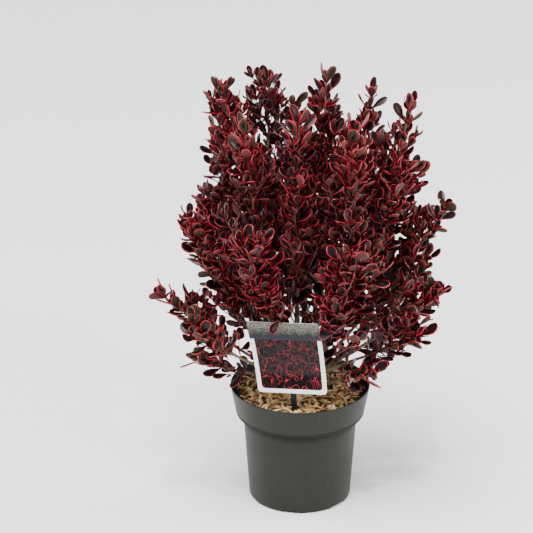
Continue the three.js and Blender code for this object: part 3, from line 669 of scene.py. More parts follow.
# %% The mulch: its finish
HUSK_SHADES = [
    (0.0, (0.030, 0.016, 0.009)), (0.12, (0.128, 0.060, 0.023)), (0.30, (0.39, 0.205, 0.076)),
    (0.60, (0.54, 0.345, 0.143)), (0.84, (0.66, 0.475, 0.228)), (1.0, (0.79, 0.65, 0.42)),
]
husk_finish, board, shader = new_finish("coconut husk", (0.30, 0.19, 0.09), 0.85)
shade = board.node("ShaderNodeAttribute", {"attribute_name": "shade"}, {}, "Fac")
along = board.node("ShaderNodeUVMap", {"uv_map": "along_fibre"})
streaks = mottle(board, stretched(board, along, (9, 1.6, 1)), 3.0, 6.0)
ramp = board.node("ShaderNodeValToRGB", {"stops": HUSK_SHADES}, {"Fac": shade}, "Color")
lay_on(
    board, shader,
    Base_Color=board.mix(ramp, (0.07, 0.034, 0.015), (streaks ** 3.0) * 1.3),
    Roughness=0.72 + streaks * 0.25,
    Normal=raised(board, streaks, 0.6, 0.0004),
)
print("husk shades:", len(HUSK_SHADES))

# %% [markdown]
# Three layers are scattered, each over a level ring: a close one of shorter pieces low down,
# kept to the darker shades as painted shade under the upper layers, a looser one of longer
# and paler fibres that tilt more, and small pieces pushed up round the wall. A layer is its
# ring, in millimetres, and the recipe's inputs.

# %% The mulch: scattering the husk
SCATTER_INPUTS = (
    "Least gap", "Most to the square metre", "Tilt in degrees", "Smallest", "Largest",
    "Darkest", "Lightest", "Seed",
)
SCATTERS = {
    # the lower layer's shades from 0 to 0.5 are painted shade under the fibres above
    "mulch_lower": ((0, 59.2, 112.0), (0.0028, 95000.0, 14.0, 0.65, 1.0, 0.0, 0.5, 11)),
    "mulch_upper": ((0, 56.0, 114.6), (0.0048, 60000.0, 26.0, 0.85, 1.25, 0.1, 1.0, 23)),
    "mulch_edge": ((54, 62.8, 115.2), (0.0036, 90000.0, 28.0, 0.42, 0.62, 0.0, 0.9, 31)),
}
RING_SIDES = 64


def level_ring(name, inner, outer, height):
    """A flat ring in millimetres, or a disc where its inner radius is nothing."""
    turns = [2 * math.pi * i / RING_SIDES for i in range(RING_SIDES)]
    spots = [
        (radius * MM * math.cos(turn), radius * MM * math.sin(turn), height * MM)
        for radius in (inner, outer) for turn in turns
    ]
    faces = [
        (i, RING_SIDES + i, RING_SIDES + (i + 1) % RING_SIDES, (i + 1) % RING_SIDES)
        for i in range(RING_SIDES)
    ]
    mesh = bpy.data.meshes.new(name)
    mesh.from_pydata(spots, [], faces)
    return mesh


for name, (ring, amounts) in SCATTERS.items():
    values = {"Forms": husk_shelf, "Finish": husk_finish, **dict(zip(SCATTER_INPUTS, amounts))}
    layer = run_recipe(husk_recipe, name, level_ring(name + "_ground", *ring), values)
    finished(layer, ["husk_mulch"])
bed.data.materials.append(peat)
finished(bed, ["husk_mulch"])
clear_shelf(husk_shelf)

# %% [markdown]
# ## The plant label
# The label is a thin plastic card, printed on its face and held up by a black stick. The
# frame of the card is worked out once: X runs across it, Y up it and Z out of its face.
# The card is slightly wider at its head, which bows forward, as the real one does above the
# stick's grip. Its rows stand close together where the corners are rounded.

# %% The plant label: the frame and outline of its card
CARD_FOOT_WIDTH, CARD_WIDTH = 70.4, 74
CARD_HEIGHT = 81.4
CARD_THICKNESS = 0.8
CARD_CORNER = 3.5
CARD_BOW = 14
CARD_COLUMNS, CARD_STEPS, CORNER_STEPS = 8, 12, 4
LABEL_PLACE = (-7.8, -53, 135)
LABEL_TURN, LABEL_LEAN = -16.3, 5
LABEL = (
    Matrix.Translation(LABEL_PLACE)
    @ Matrix.Rotation(math.radians(LABEL_TURN), 4, "Z")
    @ Matrix.Rotation(math.radians(90), 4, "X")
    @ Matrix.Rotation(math.radians(LABEL_LEAN), 4, "Z")
)


def card_bow(height):
    """How far forward the card bows at a height above its foot."""
    return CARD_BOW * (min(max(height, 0), CARD_HEIGHT) / CARD_HEIGHT) ** 2


def card_width(height):
    """How wide the card is at a height above its foot."""
    return CARD_FOOT_WIDTH + (CARD_WIDTH - CARD_FOOT_WIDTH) * height / CARD_HEIGHT


def card_rows():
    """Heights up the card, close together in its rounded corners, with half widths."""
    turns = [math.radians(90 * step / CORNER_STEPS) for step in range(CORNER_STEPS + 1)]
    low = [(CARD_CORNER * (1 - math.cos(turn)), CARD_CORNER * (1 - math.sin(turn))) for turn in turns]
    middle = [(CARD_HEIGHT * step / CARD_STEPS, 0) for step in range(1, CARD_STEPS)]
    high = [(CARD_HEIGHT - height, short) for height, short in reversed(low)]
    return [(height, card_width(height) / 2 - short) for height, short in low + middle + high]


rows = card_rows()
print("card rows:", len(rows))

# %% [markdown]
# A bowed card could be a plane with a Simple Deform modifier and a Solidify modifier. Its
# wider head and rounded corners are easier to lay in code: two grids of points, front and
# back, joined round the rim. Each point's place across and up the card is its UV map.

# %% The plant label: its card
wide = CARD_COLUMNS + 1
spots, faces = [], []
for z in (0, CARD_THICKNESS):
    for height, half in rows:
        ahead = z + card_bow(height)
        spots += [(half * (2 * i / CARD_COLUMNS - 1), height, ahead) for i in range(wide)]
back = len(rows) * wide
for row in range(len(rows) - 1):
    first = row * wide
    for i in range(first, first + CARD_COLUMNS):
        faces.append((i, i + wide, i + wide + 1, i + 1))
        faces.append((back + i, back + i + 1, back + i + wide + 1, back + i + wide))
rim = list(range(wide)) + [row * wide + CARD_COLUMNS for row in range(1, len(rows))]
rim += [back - 1 - i for i in range(1, wide)] + [row * wide for row in range(len(rows) - 2, 0, -1)]
faces += [(i, j, back + j, back + i) for i, j in zip(rim, rim[1:] + rim[:1])]
card = new_piece("label_card_printed", [tuple((LABEL @ Vector(spot)) * MM) for spot in spots], faces)
layer = card.data.uv_layers.new(name="card_face")
for loop in card.data.loops:
    x, y, z = spots[loop.vertex_index]
    layer.data[loop.index].uv = (x / card_width(y) + 0.5, y / CARD_HEIGHT)
smoothed(card, 30)
print("card faces:", len(card.data.polygons))

# %% [markdown]
# The print is generic: a mossy grey band across the head, and under it a dark picture of
# crimson-edged leaf shapes inside a white border. No words are drawn. The card's UV map
# gives the place across and up the face, and each field is a mask worked out from it.

# %% The plant label: the fields of its print
BORDER = 4.4
PICTURE_CORNER = 3.5
BAND_FOOT = 60.6
BAND_FADE = 1.2
card_finish, board, shader = new_finish("label print", (0.8, 0.8, 0.78), 0.4, 0.04)
uv = board.node("ShaderNodeUVMap", {"uv_map": "card_face"})
across = board.node("ShaderNodeSeparateXYZ", {}, {"Vector": uv}, "X") * CARD_WIDTH
up = board.node("ShaderNodeSeparateXYZ", {}, {"Vector": uv}, "Y") * CARD_HEIGHT
from_side = board.maths("MINIMUM", across, CARD_WIDTH - across)
short_side = board.maths("MAXIMUM", BORDER + PICTURE_CORNER - from_side, 0.0)
short_foot = board.maths("MAXIMUM", BORDER + PICTURE_CORNER - up, 0.0)
in_corner = board.maths("SQRT", short_side ** 2.0 + short_foot ** 2.0, 0.0)
picture = 1 - over(board, in_corner, PICTURE_CORNER)
wavy = mottle(board, uv, 16.0, 4.0)
band = over(board, up + wavy * BAND_FADE, BAND_FOOT + BAND_FADE / 2, 0.7)
print("the picture's width and height:", CARD_WIDTH - 2 * BORDER, BAND_FOOT - BORDER, "mm")

# %% [markdown]
# The picture's leaves are ovals that lie three ways, drawn as thin rims at one distance from
# the middles of scattered cells. The cells are bent a little first, so that no two look
# alike. Noise breaks the rims up, and they are brightest low down.

# %% The plant label: its picture
RIM_LAYERS = [(0.5, 4.6, 0.40), (-0.9, 5.4, 0.34), (1.9, 6.6, 0.30)]
BRIGHTEST_BELOW = 20.0


def leaf_rims(board, place, turn, count, radius):
    """Thin rims of oval leaf shapes that lie one way, from 0 to 1."""
    sockets = {"Vector": place, "Rotation": (0, 0, turn), "Scale": (1.5, 0.8, 1)}
    sockets = {"Vector": board.node("ShaderNodeMapping", {}, sockets), "Scale": count}
    middle = board.node("ShaderNodeTexVoronoi", {"voronoi_dimensions": "2D"}, sockets, "Distance")
    return 1 - over(board, board.maths("ABSOLUTE", middle - radius, 0.0), 0.015, 0.013)


swirl = board.node("ShaderNodeTexNoise", {}, {"Vector": uv, "Scale": 3.0, "Detail": 0.0}, "Color")
swirl = board.node("ShaderNodeVectorMath", {"operation": "SCALE"}, {0: swirl, "Scale": 0.2})
bent = board.node("ShaderNodeVectorMath", {"operation": "ADD"}, {0: uv, 1: swirl})
rims = 0.0
for turn, count, radius in RIM_LAYERS:
    rims = board.maths("MAXIMUM", leaf_rims(board, bent, turn, count, radius), rims)
lowest = 1 - over(board, up, BRIGHTEST_BELOW, 2.0)
broken = over(board, mottle(board, uv, 10.0, 1.0), 0.52, 0.10)
sparks = over(board, mottle(board, uv, 22.0, 2.0), 0.58, 0.08)
lit = broken * (0.40 + lowest * 0.50 + sparks * 0.60) + rims * 0.12
pale = over(board, mottle(board, uv, 26.0, 5.0), 0.52, 0.2) * (1 - lowest)
leaf_tone = board.mix((0.004, 0.004, 0.004), (0.036, 0.032, 0.029), pale)
printed = board.mix(leaf_tone, (0.56, 0.034, 0.074), rims * lit)
print("layers of leaf shapes:", len(RIM_LAYERS))

# %% [markdown]
# The band is mossy at its head and has a bluish line along its foot. The fields are then
# laid over each other: the picture on the pale border, and the band on both. The card's
# back and edges are bare plastic.

# %% The plant label: its band and its back
MOSS_FROM, LINE_TOP = 78.0, BAND_FOOT + 6.5
patchy = over(board, mottle(board, uv, 34.0, 5.0), 0.48, 0.20)
moss_light = over(board, up + wavy * 14.0, MOSS_FROM, 5.0) * patchy
low_line = 1 - over(board, up + mottle(board, uv, 7.0) * 9.0, LINE_TOP, 1.2)
moss = board.mix((0.030, 0.031, 0.034), (0.240, 0.242, 0.186), moss_light)
moss = board.mix(moss, (0.034, 0.033, 0.068), low_line)
lay_on(
    board, shader,
    Base_Color=board.mix(board.mix((0.93, 0.93, 0.92), printed, picture), moss, band),
    Roughness=0.38 + mottle(board, uv, 40.0) * 0.12,
)
card_back, board, shader = new_finish("label back", (0.80, 0.80, 0.77), 0.4)
faint = mottle(board, own_place(board), 70.0)
plain = board.mix((0.74, 0.74, 0.71), (0.84, 0.84, 0.82), faint)
lay_on(board, shader, Base_Color=plain, Roughness=0.36 + faint * 0.12)
card.data.materials.append(card_finish)
card.data.materials.append(card_back)
for polygon in card.data.polygons:
    printed_side = min(polygon.vertices) >= back
    polygon.material_index = 0 if printed_side else 1
finished(card, ["label_card"])

# %% [markdown]
# The stick is a flat black plastic strip. Its CAD solid has the right shape and stays. It
# gets a moulded plastic with faint lines drawn along it.

# %% The plant label: its stick
stick_finish, board, shader = new_finish("black plastic", (0.008, 0.008, 0.009), 0.4, 0.2)
drawn = mottle(board, stretched(board, own_place(board), (900, 900, 30)), 1.0, 2.0)
lay_on(
    board, shader,
    Base_Color=board.mix((0.004, 0.004, 0.005), (0.014, 0.014, 0.015), drawn),
    Roughness=0.32 + drawn * 0.2,
    Normal=raised(board, drawn, 0.3, 0.0001),
)
frame["nodes"]["label_stick"].material_slots[0].material = stick_finish
print_heights("label_stick")

# %% [markdown]
# ## How the shrub grows
# Five stems rise from one rootstock. Each carries shoots that leave it one above another,
# arch outwards and then turn up. The CAD source lays them out by a rule, and the same rule
# is written again here, in millimetres, so that every twig and leaf grows on from the same
# limbs. A shoot's first fifth or quarter is its bough. The rest is its leader, the twig
# that runs through one mass of foliage.
#
# The plan names each stem with its azimuth, and each shoot with the azimuth, reach and
# height of its tip. One shoot also has its own rise at first.

# %% How the shrub grows: its plan
STEM_RING, STEM_LENGTH, STEM_LEAN = 12, 42, 11
STEM_FLARE_RADIUS, STEM_FOOT_RADIUS, STEM_TIP_RADIUS, STEM_FLARE_SHARE = 5, 3.7, 2.7, 0.16
FORK_SHARES = (0.36, 0.97)
BOUGH_RADII = (2.2, 1.6)
BOUGH_SHARES = (0.24, 0.20)
SHOOT_PULLS = (0.42, 0.38)
SHOOT_START_RISE = (12, 68)
SHOOT_END_RISE = (8, 84)
SHOOT_SWAY = 7
TIP_HEIGHTS, RISE_CURVE = (110, 450), 0.8
PLANT = {
    "right": (18, [
        ("right_back_skirt", 28, 138, 205), ("right_skirt", 352, 144, 232),
        ("right_shoulder", 7, 150, 313), ("right_back_shoulder", 38, 124, 330),
        ("right_crown", 351, 107, 433), ("right_back_crown", 24, 78, 429),
    ]),
    "back": (90, [
        ("back_right_skirt", 64, 140, 190), ("back_left_skirt", 120, 140, 200),
        ("back_shoulder", 94, 132, 300), ("back_crown", 96, 84, 399),
        ("middle_right_crown", 15, 26, 453),
    ]),
    "left_back": (162, [
        ("left_skirt", 177, 147, 222), ("left_shoulder", 191, 116, 309),
        ("left_back_shoulder", 148, 116, 302), ("left_crown", 172, 80, 440),
        ("middle_left_crown", 136, 45, 440),
    ]),
    "left_front": (234, [
        ("left_front_skirt", 192, 118, 163), ("front_left_skirt", 211, 128, 206),
        ("front_left_shoulder", 238, 112, 320, 68), ("front_left_crown", 222, 76, 420),
        ("front_crown", 268, 46, 430),
    ]),
    "right_front": (306, [
        ("front_right_skirt", 316, 108, 166), ("right_front_skirt", 335, 138, 204),
        ("front_right_shoulder", 300, 120, 306), ("front_right_crown", 312, 78, 424),
    ]),
}
print("stems in the plan:", list(PLANT))

# %% [markdown]
# A limb's middle line is a row of points, read by the length along it. A shoot's is a curve
# steered by four points, as a Bezier curve is. A Blender curve object could hold it, but
# the leaves ask for places along it again and again, which is simpler in plain Python.

# %% How the shrub grows: paths along limbs
UP = Vector((0, 0, 1))
STEM_STEPS, SHOOT_STEPS, SIDE_STEPS, LEADER_STEPS = 20, 90, 6, 24


def shares(steps):
    """Evenly spaced numbers from 0 to 1."""
    return [step / steps for step in range(steps + 1)]


def between(ends, share):
    """The value at a share of the way from one end to the other."""
    return ends[0] + (ends[1] - ends[0]) * share


def share_of(ends, value):
    """How far a value is on the way from one end to the other, from 0 to 1."""
    return min(max((value - ends[0]) / (ends[1] - ends[0]), 0), 1)


def level_direction(azimuth):
    """A level direction, by its angle in degrees."""
    return Vector((math.cos(math.radians(azimuth)), math.sin(math.radians(azimuth)), 0))


def rising_direction(level, rise):
    """A level direction turned up by an angle in degrees."""
    return level * math.cos(math.radians(rise)) + UP * math.sin(math.radians(rise))


class Path:
    """The middle line of a limb, read by the length along it."""

    def __init__(self, points):
        self.points = points
        self.reached = [0.0]
        for start, end in zip(points, points[1:]):
            self.reached.append(self.reached[-1] + (end - start).length)
        self.length = self.reached[-1]

    def at(self, length):
        """The place and the direction at a length from the start."""
        i = min(max(bisect(self.reached, length), 1), len(self.points) - 1)
        start, end = self.points[i - 1], self.points[i]
        share = (length - self.reached[i - 1]) / (end - start).length
        return start.lerp(end, share), (end - start).normalized()


def curve_path(corners, first, last):
    """The stretch of a four-point curve between two of its parameters."""
    points = []
    for share in shares(SHOOT_STEPS):
        t = between((first, last), share)
        weights = ((1 - t) ** 3, 3 * t * (1 - t) ** 2, 3 * t * t * (1 - t), t ** 3)
        points.append(sum((corner * weight for corner, weight in zip(corners, weights)), Vector()))
    return Path(points)


print("points along a bough or leader:", SHOOT_STEPS + 1)

# %% [markdown]
# Now the plan is laid out. Shoots leave a stem one above another. High ones start steeply
# and end upright, low ones start and end nearly level, and each sways a little to one side.

# %% How the shrub grows: laying out the limbs
def shoot_corners(fork, azimuth, reach, tip_z, start_rise, chance):
    """The four points that steer a shoot: out at first, then up, with a slight sway."""
    tip = level_direction(azimuth) * reach + UP * tip_z
    span = tip - fork
    level = Vector((span.x, span.y, 0)).normalized()
    height = share_of(TIP_HEIGHTS, tip_z)
    steepness = height ** RISE_CURVE
    start = rising_direction(level, start_rise or between(SHOOT_START_RISE, steepness))
    end = rising_direction(level, between(SHOOT_END_RISE, steepness))
    sideways = level.cross(UP)
    near = fork + start * (SHOOT_PULLS[0] * span.length) + sideways * (SHOOT_SWAY * (2 * chance() - 1))
    far = tip - end * (SHOOT_PULLS[1] * span.length) + sideways * (SHOOT_SWAY * (2 * chance() - 1))
    return [fork, near, far, tip], between(BOUGH_SHARES, height)


def lay_out_plant():
    """The stems as paths, and the shoots with the paths of their boughs and leaders."""
    stems, shoots = [], []
    for azimuth, rows in PLANT.values():
        outward = level_direction(azimuth)
        foot = outward * STEM_RING + UP * (GROUND_Z - STEM_FLARE_RADIUS)
        tip = foot + rising_direction(outward, 90 - STEM_LEAN) * STEM_LENGTH
        stems.append(Path([foot.lerp(tip, share) for share in shares(STEM_STEPS)]))
        for row, (place, tip_azimuth, reach, tip_z, *rise) in enumerate(rows):
            fork = foot.lerp(tip, between(FORK_SHARES, row / (len(rows) - 1)))
            seed = len(shoots) + 1
            corners, bough_share = shoot_corners(
                fork, tip_azimuth, reach, tip_z, rise[0] if rise else None, seeded(seed)
            )
            shoots.append({
                "place": place, "seed": seed, "tip_z": tip_z, "index": len(shoots),
                "bough": curve_path(corners, 0, bough_share),
                "leader": curve_path(corners, bough_share, 1),
            })
    return stems, shoots


stems, shoots = lay_out_plant()
print("stems:", len(stems), "shoots:", len(shoots))
print("metres of leader:", round(sum(shoot["leader"].length for shoot in shoots) / 1000, 2))

# %% [markdown]
# The crown has an outline of its own: how far it reaches out at each height. It narrows a
# little over the skirt, is widest at the shoulders and closes over the highest tips.

# %% How the shrub grows: the outline of its crown
CROWN_REACH = [
    (110, 105), (150, 128), (190, 144), (225, 153), (258, 146), (285, 152), (312, 158),
    (340, 134), (380, 120), (425, 118), (440, 114), (450, 92), (458, 30),
]


def crown_reach_at(z):
    """The crown's widest reach at a height."""
    for (low_z, low), (high_z, high) in zip(CROWN_REACH, CROWN_REACH[1:]):
        if z <= high_z:
            return between((low, high), share_of((low_z, high_z), z))
    return 0


print("the crown's widest reach:", max(reach for z, reach in CROWN_REACH), "mm")

# %% [markdown]
# Foliage keeps to its own space, as shoots that compete for light do. A point belongs to
# the shoot whose leader is nearest, or to a shoot whose bough is nearer still. It must lie
# inside the crown's outline and clear of the limbs, the mulch, the rim and the label, whose
# face the grower leaves in sight. A search tree for each shoot makes the test quick enough
# for tens of thousands of points.

# %% How the shrub grows: the space of each shoot
STEM_ROOM, BOUGH_ROOM = 3.4, 2.5
RIM_INNER, RIM_OUTER, RIM_TOP = 65, 73, 122.5
LOWEST_OVER_MULCH, LOWEST_BEYOND_POT = 117, 108
CARD_SIDE, CARD_FOOT, CARD_TOP = 38.6, -30, 83
CARD_BEHIND, CARD_BEFORE = -3.5, 2.6
SIGHT_LINE, SEEN_TOP = (0.29, 0.43), 72


def search_tree(points):
    """A tree that finds the nearest of its points quickly."""
    tree = KDTree(len(points))
    for i, point in enumerate(points):
        tree.insert(point, i)
    tree.balance()
    return tree


own_trees = [search_tree(shoot["leader"].points + shoot["bough"].points) for shoot in shoots]
other_trees = [
    search_tree([point for other in shoots if other is not shoot for point in other["leader"].points])
    for shoot in shoots
]
stem_tree = search_tree([point for stem in stems for point in stem.points])
bough_tree = search_tree([point for shoot in shoots for point in shoot["bough"].points])
to_label = LABEL.inverted()


def fits(shoot, point, room):
    """Tells whether foliage of a shoot may fill a point, with some room round it."""
    radius = math.hypot(point.x, point.y)
    if radius < RIM_INNER:
        lowest = LOWEST_OVER_MULCH
    else:
        lowest = RIM_TOP if radius < RIM_OUTER else LOWEST_BEYOND_POT
    if point.z < lowest + room or radius > crown_reach_at(point.z):
        return False
    own = own_trees[shoot["index"]].find(point)[2]
    if other_trees[shoot["index"]].find(point)[2] < own:
        return False
    if stem_tree.find(point)[2] < STEM_ROOM + room or bough_tree.find(point)[2] < BOUGH_ROOM + room:
        return False
    spot = to_label @ point
    ahead = spot.z - card_bow(spot.y)
    beside = abs(spot.x) > CARD_SIDE + room or not CARD_FOOT < spot.y < CARD_TOP + room
    if not beside and CARD_BEHIND - room < ahead < CARD_BEFORE + room:
        return False
    x, y = spot.x - SIGHT_LINE[0] * ahead, spot.y - SIGHT_LINE[1] * ahead
    return ahead < 0 or abs(x) > CARD_SIDE or not CARD_FOOT < y < SEEN_TOP


print("a point over the pot's middle fits:", fits(shoots[0], Vector((0, 0, 300)), 0))

# %% [markdown]
# ## Leaves
# A leaf is spoon-shaped, about 15 to 25 mm long, leathery and glossy. It has an upper side
# that is nearly black, a crimson edge, and a dull brown underside. A leaf could be one flat
# card with a picture, but then its crimson edge would vanish from the side. So it is a thin
# closed mesh with real faces for edge and underside, and three bent forms keep neighbours
# from looking alike. Its outline is a few rows, each given by its share of the length and
# of the greatest width.

# %% Leaves: their forms
LEAF_LENGTH = 22
LEAF_HALF_WIDTH = 4.6
LEAF_THICKNESS = 0.8
EDGE_WIDTH = 0.7
EDGE_RISE = 0.3
UNDER_EDGE_WIDTH = 0.5
LEAST_BLADE, LEAST_UNDERSIDE = 0.4, 0.5
GROOVE = -0.3
LEAF_ROWS = [(0.15, 0.13), (0.34, 0.46), (0.53, 0.84), (0.71, 1.0), (0.87, 0.82), (0.965, 0.45)]
UPPER, EDGE, UNDER = 0, 1, 2
LEAF_FORMS = {
    "leaf_arched": (-4.2, 1.2, 6), "leaf_flat": (1.6, 0.9, -8), "leaf_spoon": (3.6, -1.5, 14),
}


def leaf_form(name, arch, droop, twist):
    """A leaf from its root at the origin along +Y, face up."""
    vertices, faces, sides = [], [], []

    def spot(share, across, above):
        """Adds a point of the bent blade and gives its number."""
        turn = math.radians(twist) * share
        lift = above + arch * share ** 2 - droop * (across / LEAF_HALF_WIDTH) ** 2
        x = across * math.cos(turn) - lift * math.sin(turn)
        z = across * math.sin(turn) + lift * math.cos(turn)
        vertices.append((x * MM, share * LEAF_LENGTH * MM, z * MM))
        return len(vertices) - 1

    def add(side, *corners):
        """Adds a face with the side of the leaf that it is on."""
        faces.append(corners)
        sides.append(side)

    root = spot(0, 0, -LEAF_THICKNESS / 2)
    rows = []
    for share, wide in LEAF_ROWS:
        half = wide * LEAF_HALF_WIDTH
        inner = max(half - EDGE_WIDTH, LEAST_BLADE * half)
        below = max(half - UNDER_EDGE_WIDTH, LEAST_UNDERSIDE * half)
        rows.append((
            spot(share, -half, 0), spot(share, -inner, EDGE_RISE), spot(share, 0, GROOVE * wide),
            spot(share, inner, EDGE_RISE), spot(share, half, 0),
            spot(share, -below, -LEAF_THICKNESS), spot(share, below, -LEAF_THICKNESS),
        ))
    inner_tip = spot(1 - EDGE_WIDTH / LEAF_LENGTH, 0, EDGE_RISE / 2)
    tip = spot(1, 0, 0)
    left, low_left, middle, low_right, right, under_left, under_right = rows[0]
    for pair in ((right, low_right), (low_right, middle), (middle, low_left), (low_left, left)):
        add(UNDER, root, *pair)
    add(UNDER, root, left, under_left)
    add(UNDER, root, under_left, under_right)
    add(UNDER, root, under_right, right)
    for near, far in zip(rows, rows[1:]):
        add(EDGE, near[0], near[1], far[1], far[0])
        add(UPPER, near[1], near[2], far[2], far[1])
        add(UPPER, near[2], near[3], far[3], far[2])
        add(EDGE, near[3], near[4], far[4], far[3])
        add(EDGE, near[0], far[0], far[5], near[5])
        add(UNDER, near[5], far[5], far[6], near[6])
        add(EDGE, near[6], far[6], far[4], near[4])
    left, up_left, middle, up_right, right, under_left, under_right = rows[-1]
    add(UPPER, up_left, middle, inner_tip)
    add(UPPER, middle, up_right, inner_tip)
    add(EDGE, left, up_left, inner_tip, tip)
    add(EDGE, up_right, right, tip, inner_tip)
    add(EDGE, left, tip, under_left)
    add(UNDER, under_left, tip, under_right)
    add(EDGE, under_right, tip, right)
    form = new_piece(name, vertices, faces)
    layer = form.data.attributes.new("side", "INT", "FACE")
    layer.data.foreach_set("value", sides)
    smoothed(form, 70)
    return form


leaf_shelf = shelf("leaf_forms", [leaf_form(name, *bend) for name, bend in LEAF_FORMS.items()])

# %% [markdown]
# The recipe sets a leaf on each point, with its length along one direction and its face
# towards another. Both directions come from the growth rule as attributes. The roll, a
# slight change of width and the pick of the form are the recipe's own, from a fixed seed.
# The three sides of a leaf get three finishes by the number that each face carries.

# %% Leaves: the recipe that sets them
LEAF_WIDTHS = (0.90, 1.10)
board, wires = new_recipe("set_leaves", {
    "Forms": "Collection",
    "Roll in degrees": "Float",
    "Seed": "Int",
    "Upper side": "Material",
    "Edge": "Material",
    "Underside": "Material",
})
facing = board.node(
    "FunctionNodeAxesToRotation", {"primary_axis": "Y", "secondary_axis": "Z"},
    {
        "Primary Axis": named_value(board, "along", "FLOAT_VECTOR"),
        "Secondary Axis": named_value(board, "face", "FLOAT_VECTOR"),
    },
)
roll = random_value(board, -1.0, 1.0, wires["Seed"]) * wires["Roll in degrees"] * to_radians
rolled = board.node("FunctionNodeRotateRotation", {"rotation_space": "LOCAL"}, {
    "Rotation": facing,
    "Rotate By": board.node("FunctionNodeEulerToRotation", {}, {
        "Euler": board.node("ShaderNodeCombineXYZ", {}, {"Y": roll}),
    }),
})
size = named_value(board, "size", "FLOAT")
width = size * named_value(board, "breadth", "FLOAT")
width = width * random_value(board, *LEAF_WIDTHS, wires["Seed"] + 1)
laid = forms_on_points(
    board, wires["Geometry"], wires["Forms"], len(LEAF_FORMS), wires["Seed"] + 2,
    rotation=rolled, scale=board.node("ShaderNodeCombineXYZ", {}, {"X": width, "Y": size, "Z": size}),
)
finishes = []
for number, label in ((UPPER, "Upper side"), (EDGE, "Edge"), (UNDER, "Underside")):
    chosen = board.node("FunctionNodeCompare", {"data_type": "INT", "operation": "EQUAL"}, {
        "A_INT": named_value(board, "side", "INT"), "B_INT": number,
    })
    finishes.append((wires[label], chosen))
end_recipe(board, laid, *finishes)
leaf_recipe = board
print("inputs of the leaf recipe:", list(wires))

# %% [markdown]
# The colour of a leaf goes with its age and place. The shaded tint, the darkest with a deep
# crimson edge, goes to leaves inside the crown and low down: it is painted shade, on old
# leaves that are darker of their own too. Sprays in full light are maroon with a vivid edge,
# some flushed with orange red. Young leaves at the tips are browner, with a duller red edge.
# Each of these is a plain colour for its own side of the leaf, dealt out spray by spray,
# because a pattern would land anywhere on so many small leaves. Gloss comes from a thin coat.

# %% Leaves: their tints
TINTS = {
    # shaded: a darker copy of the maroon tint, painted shade for leaves inside and low down
    "shaded": ((0.0066, 0.0022, 0.0026), (0.175, 0.0034, 0.012), (0.052, 0.0170, 0.0155)),
    "maroon": ((0.0100, 0.0029, 0.0033), (0.300, 0.0056, 0.020), (0.062, 0.0210, 0.0185)),
    "vivid": ((0.0130, 0.0032, 0.0038), (0.400, 0.0075, 0.027), (0.086, 0.0240, 0.0215)),
    "flushed": ((0.0150, 0.0045, 0.0040), (0.450, 0.0150, 0.025), (0.098, 0.0320, 0.0250)),
    "young": ((0.0090, 0.0061, 0.0043), (0.280, 0.0140, 0.017), (0.040, 0.0230, 0.0145)),
}
LEAF_GLOSS = {
    "Upper side": (0.34, 0.06, 0.28, 0.05), "Edge": (0.40, 0.30, 0.30, 0.10),
    "Underside": (0.65, 0.16),
}


def leaf_finishes(tint):
    """The finishes of one tint, by the side of the leaf that each is for."""
    return {
        side: new_finish(f"leaf {side.lower()} {tint}", colour, *gloss)[0]
        for (side, gloss), colour in zip(LEAF_GLOSS.items(), TINTS[tint])
    }


print("tints dealt out by spray:", list(TINTS))

# %% [markdown]
# ## Growing the sprays
# Leaves stand in opposite pairs, and each pair is turned a quarter from the one below. From
# the axils come side twigs, or only a tuft of small leaves. Side twigs are longer low on a
# shoot and short near its tip, and all of them turn up to the light. A leaf that would
# leave its shoot's space is tried smaller and then left off.
#
# Lengths are in millimetres here and angles in degrees. Two numbers in brackets are the ends
# of a range that a random draw falls in, and an opening is the angle of a leaf to its twig.

# %% Growing the sprays: a leaf and a pair
NODE_SPACING = 12.5
LEAF_LIFT = 0.35
TURN_TO_LIGHT = 0.42
LIGHT_FROM_ABOVE = 0.7
LEAF_TRIES = (1, 0.82)
LEAF_TESTS = [(0.4, 0), (0.75, -0.9), (0.75, 0.9), (1, 0)]
LEAF_ROOM = 0.3
PAIR_WOBBLE = 24
LEAF_BREADTHS, BREADTH_HEIGHTS = (1.26, 0.94), (240, 410)
leaves = {tint: [] for tint in TINTS}
twigs = {"leader": [], "side": []}


def around_twig(along, turn):
    """A direction square to a twig, turned round it by an angle in degrees."""
    steady = Vector((1, 0, 0)) if abs(along.z) > 0.9 else UP
    first = (steady - along * steady.dot(along)).normalized()
    return Quaternion(along, math.radians(turn)) @ first


def leaf_breadth(z):
    """How much broader than its form a leaf is, by the height it grows at."""
    return between(LEAF_BREADTHS, share_of(BREADTH_HEIGHTS, z))


def try_leaf(shoot, root, along, outward, opening, size, tint):
    """Adds a leaf if it fits its shoot's space, and tells whether it did."""
    angle = math.radians(opening)
    length = (along * math.cos(angle) + outward * math.sin(angle) + UP * LEAF_LIFT).normalized()
    light = Vector((root.x, root.y, 0)).normalized() * (1 - LIGHT_FROM_ABOVE) + UP * LIGHT_FROM_ABOVE
    face = (along * math.sin(angle) - outward * math.cos(angle)).lerp(light.normalized(), TURN_TO_LIGHT)
    face = (face - length * face.dot(length)).normalized()
    across = length.cross(face)
    breadth = leaf_breadth(root.z)
    for share in LEAF_TRIES:
        tests = [
            root + length * (down * LEAF_LENGTH * size * share)
            + across * (side * LEAF_HALF_WIDTH * breadth * size * share)
            for down, side in LEAF_TESTS
        ]
        if all(fits(shoot, point, LEAF_ROOM) for point in tests):
            leaves[tint].append((root * MM, length, face, size * share, breadth))
            return True
    return False


def grow_pair(shoot, root, along, turn, opening, size, tint):
    """A pair of opposite leaves. Tells how many of the two there was room for."""
    grown = [
        try_leaf(shoot, root, along, around_twig(along, turn + side), opening, size, tint)
        for side in (0, 180)
    ]
    return sum(grown)


print("a pair of leaves every", NODE_SPACING, "mm along a leader")

# %% [markdown]
# A tuft is a pair of small leaves in an axil. A node may have another pair of small leaves
# as well, which low on the plant have mostly dropped. These fill the spray close to its
# twigs, where a real one is thick with young leaves.

